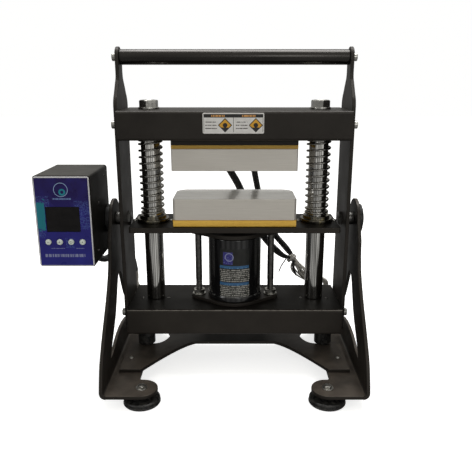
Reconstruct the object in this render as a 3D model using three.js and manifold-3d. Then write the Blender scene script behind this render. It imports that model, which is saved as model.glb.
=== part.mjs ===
// A tilting hydraulic heat press: two heated plates in a column frame that hangs on pivots
// between the two sides of a floor stand, with a control box on the left pivot.
// Millimetres, +Z up, +X to the operator's right, the operator stands on the -Y side.
import * as THREE from 'three';
import { mergeVertices } from 'three/addons/utils/BufferGeometryUtils.js';
import Module from 'manifold-3d';

const wasm = await Module();
wasm.setup();

// ---------------------------------------------------------------- driving dimensions
const gap = 0.3;                 // air left between neighbouring solids
const sheet = 5;                 // thickness of the frame sides, stand sides and cross plate

const plate = { length: 178, depth: 76, height: 31 };      // a heated plate, 7 by 3 inches
const platenTravel = 40;         // upward stroke of the lower plate

const frame = {
  inside: 321,                   // between the inner faces of the two frame sides
  halfWidth: 40,
  bottom: 67,
  shoulder: 409,                 // the sides narrow from here
  neck: 437,                     // to here
  neckHalf: 12.5,
  handleZ: 466,
  eyeRadius: 14,
};
const frameOuter = frame.inside / 2 + sheet;

const beam = { depth: 108, height: 40, wall: 6, corner: 4 };
const bottomBeamZ = frame.bottom;
const topBeamZ = 355;
const beamTop = bottomBeamZ + beam.height;

const column = { x: 123, radius: 14 };
const bolt = { radius: 8, headRadius: 13.86, headHeight: 10, washerRadius: 15, washer: 2.4 };

const movingPlate = { halfLength: 153, halfDepth: 44.5, z: 222, thickness: 8 };
const movingTop = movingPlate.z + movingPlate.thickness;
const bush = { flangeRadius: 24, flange: 5, ringRadius: 20, ring: 5, sleeveRadius: 17 };
const bushTop = movingTop + bush.flange + bush.ring;
const lowerBoard = { z: movingTop + gap, height: 9.2 };
const lowerHeaterZ = lowerBoard.z + lowerBoard.height + gap;
const upperHeaterZ = lowerHeaterZ + plate.height + platenTravel + 0.4;
const upperBoard = { z: upperHeaterZ + plate.height + gap, height: 5 };

const spring = { radius: 16.4, wire: 1.6, turns: 13 };

const cylinder = { radius: 40, flange: 5, top: 211, headFlange: 6, ramRadius: 17 };
const cylinderFlangeTop = beamTop + gap + cylinder.flange;
const tieRod = { x: 55.5, radius: 5 };
const flangeOval = { radius: 44, lobe: 11.5 };

const pivotZ = 234;
const pivot = { radius: 8, collarRadius: 10, headRadius: 11, headHeight: 4 };

const stand = {
  inner: 179,                    // inner face of a stand side, from the middle of the press
  flangeInner: 136,
  flangeZ: 17,
  bend: 9,                       // outer radius of the bend into the flange
  headRadius: 30,
};
const standOuter = stand.inner + sheet;

const foot = { x: 129.5, y: 127.5, tabRadius: 22.5, padRadius: 26, padHeight: 14, studRadius: 4 };

const box = { right: -192, left: -269, front: -88, back: 14, bottom: 186, top: 313, wall: 2 };
const boxMiddle = (box.left + box.right) / 2;

const knob = { radius: 21.5, thickness: 8 };
const centreShift = (-box.left - (standOuter + gap + knob.thickness)) / 2;

// ---------------------------------------------------------------- materials
function paint(color, roughness, metalness) {
  return new THREE.MeshStandardMaterial({ color, roughness, metalness });
}
const blackPaint = paint(0x25221f, 0.55, 0.2);
const glossBlack = paint(0x121214, 0.2, 0.1);
const blackPlastic = paint(0x1a1a1b, 0.5, 0);
const whitePlastic = paint(0xe2ebe1, 0.4, 0);
const bluePanel = paint(0x262a80, 0.35, 0);
const darkGlass = paint(0x1c1a1a, 0.1, 0);
const rubber = paint(0x151514, 0.85, 0);
const aluminium = paint(0xa8a198, 0.35, 0.9);
const chrome = paint(0xd5d5d8, 0.08, 1);
const zinc = paint(0xb4b4ae, 0.3, 0.9);
const springSteel = paint(0x3a3936, 0.3, 0.9);
const brass = paint(0xb0904e, 0.35, 0.9);
const yellowBoard = paint(0xc89a34, 0.7, 0);
const braid = paint(0x141414, 0.9, 0);
const fibreglass = paint(0xb9b6ad, 0.9, 0);
const circuitGreen = paint(0x1d5a34, 0.5, 0);

// ---------------------------------------------------------------- shaping tools
function solidOf(geometry) {
  const bare = geometry.clone();
  bare.deleteAttribute('normal');
  bare.deleteAttribute('uv');
  const merged = mergeVertices(bare, 1e-3);
  const index = merged.index.array;
  const kept = [];
  for (let i = 0; i < index.length; i += 3) {
    const [a, b, c] = [index[i], index[i + 1], index[i + 2]];
    if (a !== b && b !== c && c !== a) kept.push(a, b, c);
  }
  const vertProperties = new Float32Array(merged.attributes.position.array);
  const triVerts = new Uint32Array(kept);
  return new wasm.Manifold(new wasm.Mesh({ numProp: 3, vertProperties, triVerts }));
}

function geometryOf(solid) {
  const { vertProperties, triVerts } = solid.getMesh();
  const geometry = new THREE.BufferGeometry();
  geometry.setAttribute('position', new THREE.BufferAttribute(vertProperties, 3));
  geometry.setIndex(new THREE.BufferAttribute(triVerts, 1));
  geometry.computeVertexNormals();
  return geometry;
}

function cut(body, ...tools) {
  return geometryOf(tools.reduce((solid, tool) => solid.subtract(solidOf(tool)), solidOf(body)));
}

function join(body, ...others) {
  return geometryOf(others.reduce((solid, other) => solid.add(solidOf(other)), solidOf(body)));
}

function common(body, other) {
  return geometryOf(solidOf(body).intersect(solidOf(other)));
}

function block(x0, x1, y0, y1, z0, z1) {
  const geometry = new THREE.BoxGeometry(x1 - x0, y1 - y0, z1 - z0);
  return geometry.translate((x0 + x1) / 2, (y0 + y1) / 2, (z0 + z1) / 2);
}

// Round bars along each axis.
function barZ(radius, z0, z1, sides = 32) {
  const geometry = new THREE.CylinderGeometry(radius, radius, z1 - z0, sides);
  return geometry.rotateX(Math.PI / 2).translate(0, 0, (z0 + z1) / 2);
}

function barX(radius, x0, x1, sides = 32) {
  const geometry = new THREE.CylinderGeometry(radius, radius, x1 - x0, sides);
  return geometry.rotateZ(-Math.PI / 2).translate((x0 + x1) / 2, 0, 0);
}

function barY(radius, y0, y1, sides = 32) {
  return new THREE.CylinderGeometry(radius, radius, y1 - y0, sides).translate(0, (y0 + y1) / 2, 0);
}

// Flat plates from an outline: (x, y) up Z, (x, z) along Y, and (y, z) along X.
function plateZ(shape, z0, z1, curveSegments = 12) {
  const options = { depth: z1 - z0, bevelEnabled: false, curveSegments };
  return new THREE.ExtrudeGeometry(shape, options).translate(0, 0, z0);
}

function plateY(shape, y0, y1, curveSegments = 12) {
  const options = { depth: y1 - y0, bevelEnabled: false, curveSegments };
  return new THREE.ExtrudeGeometry(shape, options).rotateX(Math.PI / 2).translate(0, y1, 0);
}

function plateX(shape, x0, x1, curveSegments = 12) {
  const options = { depth: x1 - x0, bevelEnabled: false, curveSegments };
  const yzToX = new THREE.Matrix4().makeBasis(
    new THREE.Vector3(0, 1, 0), new THREE.Vector3(0, 0, 1), new THREE.Vector3(1, 0, 0));
  return new THREE.ExtrudeGeometry(shape, options).applyMatrix4(yzToX).translate(x0, 0, 0);
}

// A turned piece about Z from a profile of [radius, z] pairs that climbs on its outer side.
function turned(profile, sides = 40) {
  const points = profile.map(([radius, z]) => new THREE.Vector2(radius, z));
  return new THREE.LatheGeometry(points, sides).rotateX(Math.PI / 2);
}

function tubeZ(outer, inner, z0, z1, sides = 40) {
  return turned([[inner, z0], [outer, z0], [outer, z1], [inner, z1], [inner, z0]], sides);
}

function roundedRectangle(x0, x1, y0, y1, r) {
  const shape = new THREE.Shape();
  shape.moveTo(x0 + r, y0);
  shape.lineTo(x1 - r, y0);
  shape.absarc(x1 - r, y0 + r, r, -Math.PI / 2, 0);
  shape.lineTo(x1, y1 - r);
  shape.absarc(x1 - r, y1 - r, r, 0, Math.PI / 2);
  shape.lineTo(x0 + r, y1);
  shape.absarc(x0 + r, y1 - r, r, Math.PI / 2, Math.PI);
  shape.lineTo(x0, y0 + r);
  shape.absarc(x0 + r, y0 + r, r, Math.PI, 1.5 * Math.PI);
  return shape;
}

function hexagon(radius) {
  const angles = [0, 1, 2, 3, 4, 5].map((i) => i * Math.PI / 3);
  return new THREE.Shape(angles.map((a) => new THREE.Vector2(radius * Math.cos(a), radius * Math.sin(a))));
}

// A round cable along a hand-picked route.
function cable(points, radius, quarterSides, steps) {
  const section = new THREE.Shape();
  section.absarc(0, 0, radius, 0, 2 * Math.PI);
  const path = new THREE.CatmullRomCurve3(points.map((p) => new THREE.Vector3(...p)), false, 'centripetal');
  const options = { steps, curveSegments: quarterSides, bevelEnabled: false, extrudePath: path };
  return new THREE.ExtrudeGeometry(section, options);
}

function mirroredX(geometry) {
  const solid = solidOf(geometry).mirror([1, 0, 0]);
  return geometryOf(solid);
}

const machine = new THREE.Group();
machine.position.x = centreShift;
const press = new THREE.Group();
press.add(machine);

function add(name, geometry, material, position = [0, 0, 0]) {
  const mesh = new THREE.Mesh(geometry, material);
  mesh.name = name;
  mesh.position.set(...position);
  machine.add(mesh);
}

const sides = [['left', -1], ['right', 1]];

// ---------------------------------------------------------------- frame sides and handle
function frameSideShape() {
  const { halfWidth, bottom, shoulder, neck, neckHalf, handleZ, eyeRadius } = frame;
  const corner = 8;
  const shape = new THREE.Shape();
  shape.moveTo(-halfWidth + corner, bottom);
  shape.lineTo(halfWidth - corner, bottom);
  shape.absarc(halfWidth - corner, bottom + corner, corner, -Math.PI / 2, 0);
  shape.lineTo(halfWidth, shoulder - 10);
  shape.quadraticCurveTo(halfWidth, shoulder, halfWidth - 9, shoulder + 8);
  shape.lineTo(neckHalf + 6, neck - 4);
  shape.quadraticCurveTo(neckHalf, neck, neckHalf + 0.5, neck + 12);
  shape.absarc(0, handleZ, eyeRadius, -0.3, Math.PI + 0.3);
  shape.lineTo(-neckHalf - 0.5, neck + 12);
  shape.quadraticCurveTo(-neckHalf, neck, -neckHalf - 6, neck - 4);
  shape.lineTo(-halfWidth + 9, shoulder + 8);
  shape.quadraticCurveTo(-halfWidth, shoulder, -halfWidth, shoulder - 10);
  shape.lineTo(-halfWidth, bottom + corner);
  shape.absarc(-halfWidth + corner, bottom + corner, corner, Math.PI, 1.5 * Math.PI);
  return shape;
}

const beamScrewY = 28;
const beamScrewHeights = [bottomBeamZ + beam.height / 2 + 6, topBeamZ + beam.height / 2];
const screwHole = 3.4;

function frameSide() {
  const body = plateX(frameSideShape(), frame.inside / 2, frameOuter, 5);
  const through = [frame.inside / 2 - 1, frameOuter + 1];
  const holes = [
    barX(pivot.radius + gap, ...through).translate(0, 0, pivotZ),
    barX(screwHole, ...through, 12).translate(0, 0, frame.handleZ),
  ];
  for (const z of beamScrewHeights) {
    for (const y of [-beamScrewY, beamScrewY]) {
      holes.push(barX(screwHole, ...through, 12).translate(0, y, z));
    }
  }
  return cut(body, ...holes);
}

function handleScrew() {
  const head = { radius: 5.6, height: 6, edge: 0.7 };
  const shank = 3;
  const socket = { radius: 2.5, bottom: 3 };
  const profile = [
    [0, -20], [shank, -20], [shank, gap], [head.radius, gap], [head.radius, head.height - head.edge],
    [head.radius - head.edge, head.height], [socket.radius, head.height], [socket.radius, socket.bottom],
    [0, socket.bottom],
  ];
  return turned(profile, 16).rotateY(Math.PI / 2).translate(frameOuter, 0, frame.handleZ);
}

function buildFrameSides() {
  const side = frameSide();
  const screw = handleScrew();
  for (const [label, sign] of sides) {
    add(`frame_side_${label}`, sign > 0 ? side : mirroredX(side), blackPaint);
    add(`handle_screw_${label}`, sign > 0 ? screw : mirroredX(screw), zinc);
  }
  const half = frame.inside / 2 - gap;
  const tapped = 24;
  const bar = barX(10.5, -half, half);
  const bores = [barX(3.4, half - tapped, half + 1, 12), barX(3.4, -half - 1, tapped - half, 12)];
  add('handle_bar', cut(bar, ...bores), blackPaint, [0, 0, frame.handleZ]);
}

// ---------------------------------------------------------------- beams
// A rectangular tube with a welded lug behind each side screw.
function beamTube(z0) {
  const z1 = z0 + beam.height;
  const half = frame.inside / 2 - gap;
  const y = beam.depth / 2;
  const w = beam.wall;
  const outer = plateX(roundedRectangle(-y, y, z0, z1, beam.corner), -half, half, 4);
  const inner = block(-half - 1, half + 1, w - y, y - w, z0 + w, z1 - w);
  let tube = cut(outer, inner);
  const screwZ = beamScrewHeights[z0 === bottomBeamZ ? 0 : 1];
  const lug = { length: 14, halfWidth: 9 };
  for (const sign of [-1, 1]) {
    for (const screwY of [-beamScrewY, beamScrewY]) {
      const ends = [sign * half, sign * (half - lug.length)].sort((a, b) => a - b);
      const across = [screwY - lug.halfWidth, screwY + lug.halfWidth];
      const lugBlock = block(...ends, ...across, z0 + w - 1, z1 - w + 1);
      const tap = barX(screwHole, ends[0] - 1, ends[1] + 1, 12).translate(0, screwY, screwZ);
      tube = cut(join(tube, lugBlock), tap);
    }
  }
  return tube;
}

function buildBeams() {
  const boltHoles = [];
  for (const [, sign] of sides) {
    const hole = barZ(bolt.radius + gap, topBeamZ - 1, topBeamZ + beam.height + 1, 24);
    boltHoles.push(hole.translate(sign * column.x, 0, 0));
  }
  const pad = block(-plate.length / 2, plate.length / 2, -plate.depth / 2, plate.depth / 2,
    upperBoard.z + upperBoard.height + gap, topBeamZ + 1);
  add('top_beam', cut(join(beamTube(topBeamZ), pad), ...boltHoles), blackPaint);
  add('bottom_beam', beamTube(bottomBeamZ), blackPaint);
}

// ---------------------------------------------------------------- columns, bolts, springs
function buildColumns() {
  const bottom = beamTop + gap;
  const top = topBeamZ - gap;
  const boreDepth = 30;
  const post = turned([
    [0, bottom], [column.radius, bottom], [column.radius, top - 1], [column.radius - 1, top],
    [bolt.radius + gap, top], [bolt.radius + gap, top - boreDepth], [0, top - boreDepth],
  ], 32);
  const seat = topBeamZ + beam.height + gap;
  const washerTop = seat + bolt.washer;
  const shank = barZ(bolt.radius, top - boreDepth + 4, washerTop + 1, 24);
  const washer = barZ(bolt.washerRadius, seat, washerTop, 36);
  const hex = plateZ(hexagon(bolt.headRadius), washerTop - 0.5, washerTop + bolt.headHeight);
  const headTop = washerTop + bolt.headHeight;
  const dome = turned([
    [0, washerTop - 1], [bolt.headRadius, washerTop - 1], [bolt.headRadius, headTop - 2],
    [bolt.headRadius - 2, headTop], [0, headTop],
  ], 36);
  const boltGeometry = join(shank, washer, common(hex, dome));
  for (const [label, sign] of sides) {
    add(`column_${label}`, post, chrome, [sign * column.x, 0, 0]);
    add(`column_bolt_${label}`, boltGeometry, zinc, [sign * column.x, 0, 0]);
    add(`return_spring_${label}`, springCoil(), springSteel, [sign * column.x, 0, 0]);
  }
}

class Helix extends THREE.Curve {
  constructor(radius, z0, z1, turns) {
    super();
    Object.assign(this, { radius, z0, z1, turns });
  }

  getPoint(t, target = new THREE.Vector3()) {
    const angle = 2 * Math.PI * this.turns * t;
    const z = this.z0 + (this.z1 - this.z0) * t;
    return target.set(this.radius * Math.cos(angle), this.radius * Math.sin(angle), z);
  }
}

function springCoil() {
  const section = new THREE.Shape();
  section.absarc(0, 0, spring.wire, 0, 2 * Math.PI);
  const bottom = bushTop + spring.wire + 2 * gap;
  const top = topBeamZ - spring.wire - 2 * gap;
  const path = new Helix(spring.radius, bottom, top, spring.turns);
  path.arcLengthDivisions = 40 * spring.turns;
  const options = { steps: 10 * spring.turns, curveSegments: 2, bevelEnabled: false, extrudePath: path };
  return new THREE.ExtrudeGeometry(section, options);
}

// ---------------------------------------------------------------- moving plate and bushes
function buildPlaten() {
  const { halfLength, halfDepth, z } = movingPlate;
  const outline = roundedRectangle(-halfLength, halfLength, -halfDepth, halfDepth, 4);
  const slab = plateZ(outline, z, movingTop, 4);
  const holes = [];
  for (const [, sign] of sides) {
    holes.push(barZ(bush.sleeveRadius, z - 1, movingTop + 1, 32).translate(sign * column.x, 0, 0));
  }
  add('moving_plate', cut(slab, ...holes), blackPaint);

  const bore = column.radius + gap;
  const flangeBottom = movingTop + gap;
  const flangeTop = flangeBottom + bush.flange;
  const sleeve = bush.sleeveRadius - gap;
  const bushGeometry = turned([
    [bore, z], [sleeve, z], [sleeve, flangeBottom], [bush.flangeRadius, flangeBottom],
    [bush.flangeRadius, flangeTop], [bush.ringRadius, flangeTop], [bush.ringRadius, bushTop - 0.8],
    [bush.ringRadius - 0.8, bushTop], [bore, bushTop], [bore, z],
  ], 28);
  for (const [label, sign] of sides) {
    add(`guide_bush_${label}`, bushGeometry, brass, [sign * column.x, 0, 0]);
  }
}

// ---------------------------------------------------------------- heated plates
// The lower block has well rounded rear corners, the front ones are just broken.
function heaterOutline(frontCorner, rearCorner) {
  const x = plate.length / 2;
  const y = plate.depth / 2;
  const shape = new THREE.Shape();
  shape.moveTo(-x + frontCorner, -y);
  shape.lineTo(x - frontCorner, -y);
  shape.lineTo(x, -y + frontCorner);
  shape.lineTo(x, y - rearCorner);
  shape.absarc(x - rearCorner, y - rearCorner, rearCorner, 0, Math.PI / 2);
  shape.lineTo(-x + rearCorner, y);
  shape.absarc(-x + rearCorner, y - rearCorner, rearCorner, Math.PI / 2, Math.PI);
  shape.lineTo(-x, -y + frontCorner);
  return shape;
}

// Where each lead leaves the rear face of its plate, as [x, z].
const leadExits = { upper: [-24, 330], sensor: [27, 330], lower: [60, 256] };
const leadRadius = 4.6;
const leadSocketDepth = 10;

function leadSocket([x, z]) {
  const rear = plate.depth / 2;
  return barY(leadRadius + gap, rear - leadSocketDepth, rear + 1, 20).translate(x, 0, z);
}

function buildHeaters() {
  const x = plate.length / 2;
  const y = plate.depth / 2;
  const lowerSlab = plateZ(heaterOutline(3, 18), lowerHeaterZ, lowerHeaterZ + plate.height, 8);
  add('lower_heater', cut(lowerSlab, leadSocket(leadExits.lower)), aluminium);
  add('lower_insulator', block(-x, x, -y, y, lowerBoard.z, lowerBoard.z + lowerBoard.height), yellowBoard);
  const upperSlab = plateZ(heaterOutline(1.5, 6), upperHeaterZ, upperHeaterZ + plate.height, 5);
  const sockets = [leadSocket(leadExits.upper), leadSocket(leadExits.sensor)];
  add('upper_heater', cut(upperSlab, ...sockets), aluminium);
  add('upper_insulator', block(-x, x, -y, y, upperBoard.z, upperBoard.z + upperBoard.height), yellowBoard);
}

// ---------------------------------------------------------------- hydraulic cylinder
// A flange shaped like a flattened oval: a round middle with a lobe each side, joined by tangents.
function ovalShape() {
  const { radius, lobe } = flangeOval;
  const lean = Math.acos((radius - lobe) / tieRod.x);
  const shape = new THREE.Shape();
  shape.absarc(0, 0, radius, lean, Math.PI - lean);
  shape.absarc(-tieRod.x, 0, lobe, Math.PI - lean, Math.PI + lean);
  shape.absarc(0, 0, radius, Math.PI + lean, 2 * Math.PI - lean);
  shape.absarc(tieRod.x, 0, lobe, -lean, lean);
  return shape;
}

function tieRodHoles(z0, z1) {
  const hole = () => barZ(tieRod.radius + gap, z0 - 1, z1 + 1, 20);
  return [hole().translate(-tieRod.x, 0, 0), hole().translate(tieRod.x, 0, 0)];
}

function buildBarrel() {
  const z0 = cylinderFlangeTop + gap;
  const bore = cylinder.ramRadius + gap;
  const boreBottom = z0 + 16;
  const collar = { radius: cylinder.radius + 1.5, height: 7 };
  const barrel = turned([
    [0, z0], [collar.radius, z0], [collar.radius, z0 + collar.height],
    [cylinder.radius, z0 + collar.height + 2], [cylinder.radius, cylinder.top - 2],
    [cylinder.radius - 2, cylinder.top], [bore, cylinder.top], [bore, boreBottom], [0, boreBottom],
  ], 48);
  const portZ = z0 + 12;
  const port = barY(6 + gap, 20, cylinder.radius + 5, 20).translate(0, 0, portZ);
  add('cylinder_barrel', cut(barrel, port), glossBlack);
  add('ram', barZ(cylinder.ramRadius, boreBottom + 4, movingPlate.z - gap, 40), chrome);

  const coupler = turned([
    [0, 24], [6, 24], [6, 43], [10, 43], [10, 50], [7.5, 51], [7.5, 60], [8.5, 61], [8.5, 66], [7.5, 67],
    [4, 67], [4, 54], [0, 54],
  ], 16);
  add('hydraulic_coupler', coupler.rotateX(-Math.PI / 2), zinc, [0, 0, portZ]);
}

function buildFlangesAndTieRods() {
  const baseZ = beamTop + gap;
  const baseFlange = plateZ(ovalShape(), baseZ, cylinderFlangeTop, 8);
  add('cylinder_base_flange', cut(baseFlange, ...tieRodHoles(baseZ, cylinderFlangeTop)), blackPaint);

  const headZ = cylinder.top + gap;
  const headTop = headZ + cylinder.headFlange - gap;
  const headFlange = plateZ(ovalShape(), headZ, headTop, 8);
  const ramHole = barZ(cylinder.ramRadius + gap, headZ - 1, headTop + 1, 32);
  add('cylinder_head_flange', cut(headFlange, ramHole, ...tieRodHoles(headZ, headTop)), blackPaint);

  const rodHead = { radius: 8, height: 3.6 };
  const rodTop = headTop + gap + rodHead.height;
  const rod = turned([
    [0, baseZ], [tieRod.radius, baseZ], [tieRod.radius, headTop + gap],
    [rodHead.radius, headTop + gap], [rodHead.radius, rodTop - 0.8], [rodHead.radius - 0.8, rodTop],
    [0, rodTop],
  ], 20);
  const nutZ = cylinderFlangeTop + gap;
  const nutHeight = 8;
  const washer = barZ(10, nutZ, nutZ + 1.8, 28);
  const nut = plateZ(hexagon(9.2), nutZ + 1.3, nutZ + nutHeight);
  const nutBore = barZ(tieRod.radius + gap, nutZ - 1, nutZ + nutHeight + 1, 20);
  const nutGeometry = cut(join(washer, nut), nutBore);
  for (const [label, sign] of sides) {
    add(`tie_rod_${label}`, rod, zinc, [sign * tieRod.x, 0, 0]);
    add(`tie_rod_nut_${label}`, nutGeometry, zinc, [sign * tieRod.x, 0, 0]);
  }
}

// ---------------------------------------------------------------- leads
// The two sleeves of the upper plate drop behind the lower plate and swing right to the cable tie.
// The lower plate's sleeve hangs behind them, with slack for the stroke.
const tieCentre = [97, 76, 146];
const tieRun = [6, 0, -8];                    // the way the harness runs through the tie
const harnessRadius = 5;
const glandZ = 206;                           // the harness enters the control box here

function buildLeads() {
  const rear = plate.depth / 2;
  const start = rear - leadSocketDepth + 1;
  const exit = ([x, z]) => [[x, start, z], [x, rear, z], [x, rear + 8, z]];
  const upper = [
    ...exit(leadExits.upper), [-20, 58, 321], [-8, 66, 297], [6, 68, 272], [17, 70, 245],
    [30, 72, 215], [48, 74, 184], [67, 75, 162], [81, 73, 151],
  ];
  const sensor = [
    ...exit(leadExits.sensor), [28, 58, 320], [32, 70, 292], [38, 79, 262], [45, 82, 232],
    [54, 82, 208], [65, 82, 188], [79, 81, 171], [89, 80, 161],
  ];
  const lower = [
    ...exit(leadExits.lower), [62, 60, 250], [63, 78, 229], [62, 93, 207], [67, 95, 186],
    [79, 94, 168], [88, 92, 157],
  ];
  add('upper_lead', cable(upper, leadRadius, 4, 28), braid);
  add('sensor_lead', cable(sensor, leadRadius, 4, 26), braid);
  add('lower_lead', cable(lower, leadRadius, 4, 18), braid);

  const along = (k) => tieCentre.map((value, i) => value + k * tieRun[i]);
  const droop = [
    along(-0.9), along(0), along(0.9), [110, 76, 129], [120, 78, 115], [132, 81, 108],
    [147, 84, 106], [157, 87, 98], [155, 90, 86], [140, 91, 79], [118, 91, 78], [92, 91, 78],
  ];
  add('harness_frame', cable(droop, harnessRadius, 4, 30), fibreglass);
  const toBox = [
    [91, 91, 78], [40, 91, 78], [-40, 90, 78], [-120, 90, 78], [-155, 90, 79], [-170, 91, 92],
    [-172, 91, 118], [-177, 89, 142], [-190, 81, 154], [-203, 67, 154], [-215, 55, 151], [-227, 48, 160],
    [boxMiddle, 47, 184], [boxMiddle, 42, 200], [boxMiddle, 34, glandZ],
    [boxMiddle, box.back + 10, glandZ], [boxMiddle, box.back - 4, glandZ],
  ];
  add('harness_box', cable(toBox, harnessRadius, 4, 56), fibreglass);

  const band = tubeZ(harnessRadius + gap + 1.8, harnessRadius + gap, -2.4, 2.4, 20);
  const lean = new THREE.Quaternion().setFromUnitVectors(
    new THREE.Vector3(0, 0, 1), new THREE.Vector3(...tieRun).normalize());
  add('cable_tie', band.applyQuaternion(lean), whitePlastic, tieCentre);
}

// ---------------------------------------------------------------- pivots
function buildPivots() {
  const head = [frame.inside / 2 - gap - pivot.headHeight, frame.inside / 2 - gap];
  const shankEnd = standOuter + 6;
  const collar = [frameOuter + gap, stand.inner - gap];
  const hex = plateX(hexagon(pivot.headRadius), ...head);
  const boltRight = join(
    barX(pivot.radius, head[1] - 1, shankEnd, 28),
    hex,
    barX(pivot.collarRadius, ...collar, 28),
  );
  add('pivot_bolt_right', boltRight, zinc, [0, 0, pivotZ]);
  add('pivot_bolt_left', mirroredX(boltRight), zinc, [0, 0, pivotZ]);
  add('lock_knob', lockKnob(shankEnd), blackPlastic, [0, 0, pivotZ]);
  const disc = tubeZ(21, pivot.radius + gap, standOuter + gap, -box.right - gap, 48);
  add('pivot_disc', mirroredX(disc.rotateY(Math.PI / 2)), blackPlastic, [0, 0, pivotZ]);
}

// A round knob with finger hollows around its rim, bored for the end of the pivot bolt.
function lockKnob(shankEnd) {
  const inner = standOuter + gap;
  const outer = inner + knob.thickness;
  const profile = [
    [pivot.radius + gap, inner], [knob.radius, inner], [knob.radius, inner + 5],
    [knob.radius - 1.2, inner + 6.2], [knob.radius - 5, outer - 0.8], [knob.radius - 7, outer],
    [0, outer], [0, shankEnd + gap],
    [pivot.radius + gap, shankEnd + gap], [pivot.radius + gap, inner],
  ];
  let body = turned(profile, 32);
  const scallops = 8;
  for (let i = 0; i < scallops; i += 1) {
    const angle = (i + 0.5) * 2 * Math.PI / scallops;
    const reach = knob.radius + 3.4;
    const groove = barZ(4.4, inner - 1, outer + 1, 8);
    body = cut(body, groove.translate(reach * Math.cos(angle), reach * Math.sin(angle), 0));
  }
  return body.rotateY(Math.PI / 2);
}

// ---------------------------------------------------------------- stand
// The outline of a stand side seen from the side, as [y, z] along its front edge, head to foot.
const standEdge = [
  [-44, 211], [-48, 186], [-57, 162], [-79, 131], [-108, 98], [-133, 66], [-143, 44], [-150, 22],
];
const legInnerEdge = [[-14, 139], [-40, 95], [-72, 64], [-88, 46]];

function standSideShape() {
  const shape = new THREE.Shape();
  const front = standEdge.map(([y, z]) => new THREE.Vector2(y, z));
  const back = front.map((p) => new THREE.Vector2(-p.x, p.y)).reverse();
  const floor = stand.flangeZ - 2;
  shape.moveTo(front[front.length - 1].x, floor);
  shape.splineThru([...front].reverse());
  shape.lineTo(-stand.headRadius - 6, pivotZ - 8);
  shape.absarc(0, pivotZ, stand.headRadius, Math.PI, 0, true);
  shape.lineTo(stand.headRadius + 6, pivotZ - 8);
  shape.lineTo(back[back.length - 1].x, back[back.length - 1].y);
  shape.splineThru([...back].reverse().slice(1));
  shape.lineTo(-front[front.length - 1].x, floor);
  shape.closePath();

  const window = new THREE.Path();
  const left = legInnerEdge.map(([y, z]) => new THREE.Vector2(y, z));
  const right = left.map((p) => new THREE.Vector2(-p.x, p.y));
  window.moveTo(left[0].x, left[0].y);
  window.splineThru(left.slice(1));
  window.quadraticCurveTo(-70, 44, -50, 52);
  window.quadraticCurveTo(0, 68, 50, 52);
  window.quadraticCurveTo(70, 44, right[3].x, right[3].y);
  window.splineThru([...right].reverse().slice(1));
  window.quadraticCurveTo(0, 160, left[0].x, left[0].y);
  shape.holes.push(window);
  return shape;
}

function bentSheetProfile() {
  const { inner, flangeZ, bend } = stand;
  const shape = new THREE.Shape();
  shape.moveTo(foot.x - foot.tabRadius - 1, flangeZ);
  shape.lineTo(standOuter - bend, flangeZ);
  shape.absarc(standOuter - bend, flangeZ + bend, bend, -Math.PI / 2, 0);
  shape.lineTo(standOuter, pivotZ + stand.headRadius + 1);
  shape.lineTo(inner, pivotZ + stand.headRadius + 1);
  shape.lineTo(inner, flangeZ + bend);
  shape.absarc(standOuter - bend, flangeZ + bend, bend - sheet, 0, -Math.PI / 2, true);
  shape.lineTo(foot.x - foot.tabRadius - 1, flangeZ + sheet);
  return shape;
}

// The flange from above: a straight strip with a round-ended tab for a foot at each end.
function flangeShape() {
  const { x, y, tabRadius } = foot;
  const notch = 8;
  const shape = new THREE.Shape();
  shape.moveTo(standOuter + 1, -y - tabRadius);
  shape.lineTo(standOuter + 1, y + tabRadius);
  shape.lineTo(x, y + tabRadius);
  shape.absarc(x, y, tabRadius, Math.PI / 2, 1.5 * Math.PI);
  shape.lineTo(stand.flangeInner - notch + 4, y - tabRadius);
  shape.quadraticCurveTo(stand.flangeInner, y - tabRadius, stand.flangeInner, y - tabRadius - notch);
  shape.lineTo(stand.flangeInner, -y + tabRadius + notch);
  shape.quadraticCurveTo(stand.flangeInner, -y + tabRadius, stand.flangeInner - notch + 4, -y + tabRadius);
  shape.lineTo(x, -y + tabRadius);
  shape.absarc(x, -y, tabRadius, Math.PI / 2, 1.5 * Math.PI);
  return shape;
}

function standSide() {
  const depth = foot.y + foot.tabRadius;
  const strip = plateY(bentSheetProfile(), -depth - 1, depth + 1, 4);
  const wall = plateX(standSideShape(), standOuter - stand.bend, standOuter + 1, 5);
  const floorPiece = plateZ(flangeShape(), stand.flangeZ - 1, stand.flangeZ + stand.bend, 8);
  const wallOnly = common(strip, wall);
  const floorLimit = block(foot.x - foot.tabRadius - 1, standOuter - stand.bend + 1, -depth, depth,
    stand.flangeZ - 1, stand.flangeZ + sheet + 1);
  const floorOnly = common(common(strip, floorPiece), floorLimit);
  const holes = [barX(pivot.radius + gap, stand.inner - 1, standOuter + 1, 28).translate(0, 0, pivotZ)];
  for (const y of [-foot.y, foot.y]) {
    const studHole = barZ(foot.studRadius + gap, stand.flangeZ - 1, stand.flangeZ + sheet + 1, 20);
    holes.push(studHole.translate(foot.x, y, 0));
  }
  return cut(join(wallOnly, floorOnly), ...holes);
}

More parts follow.
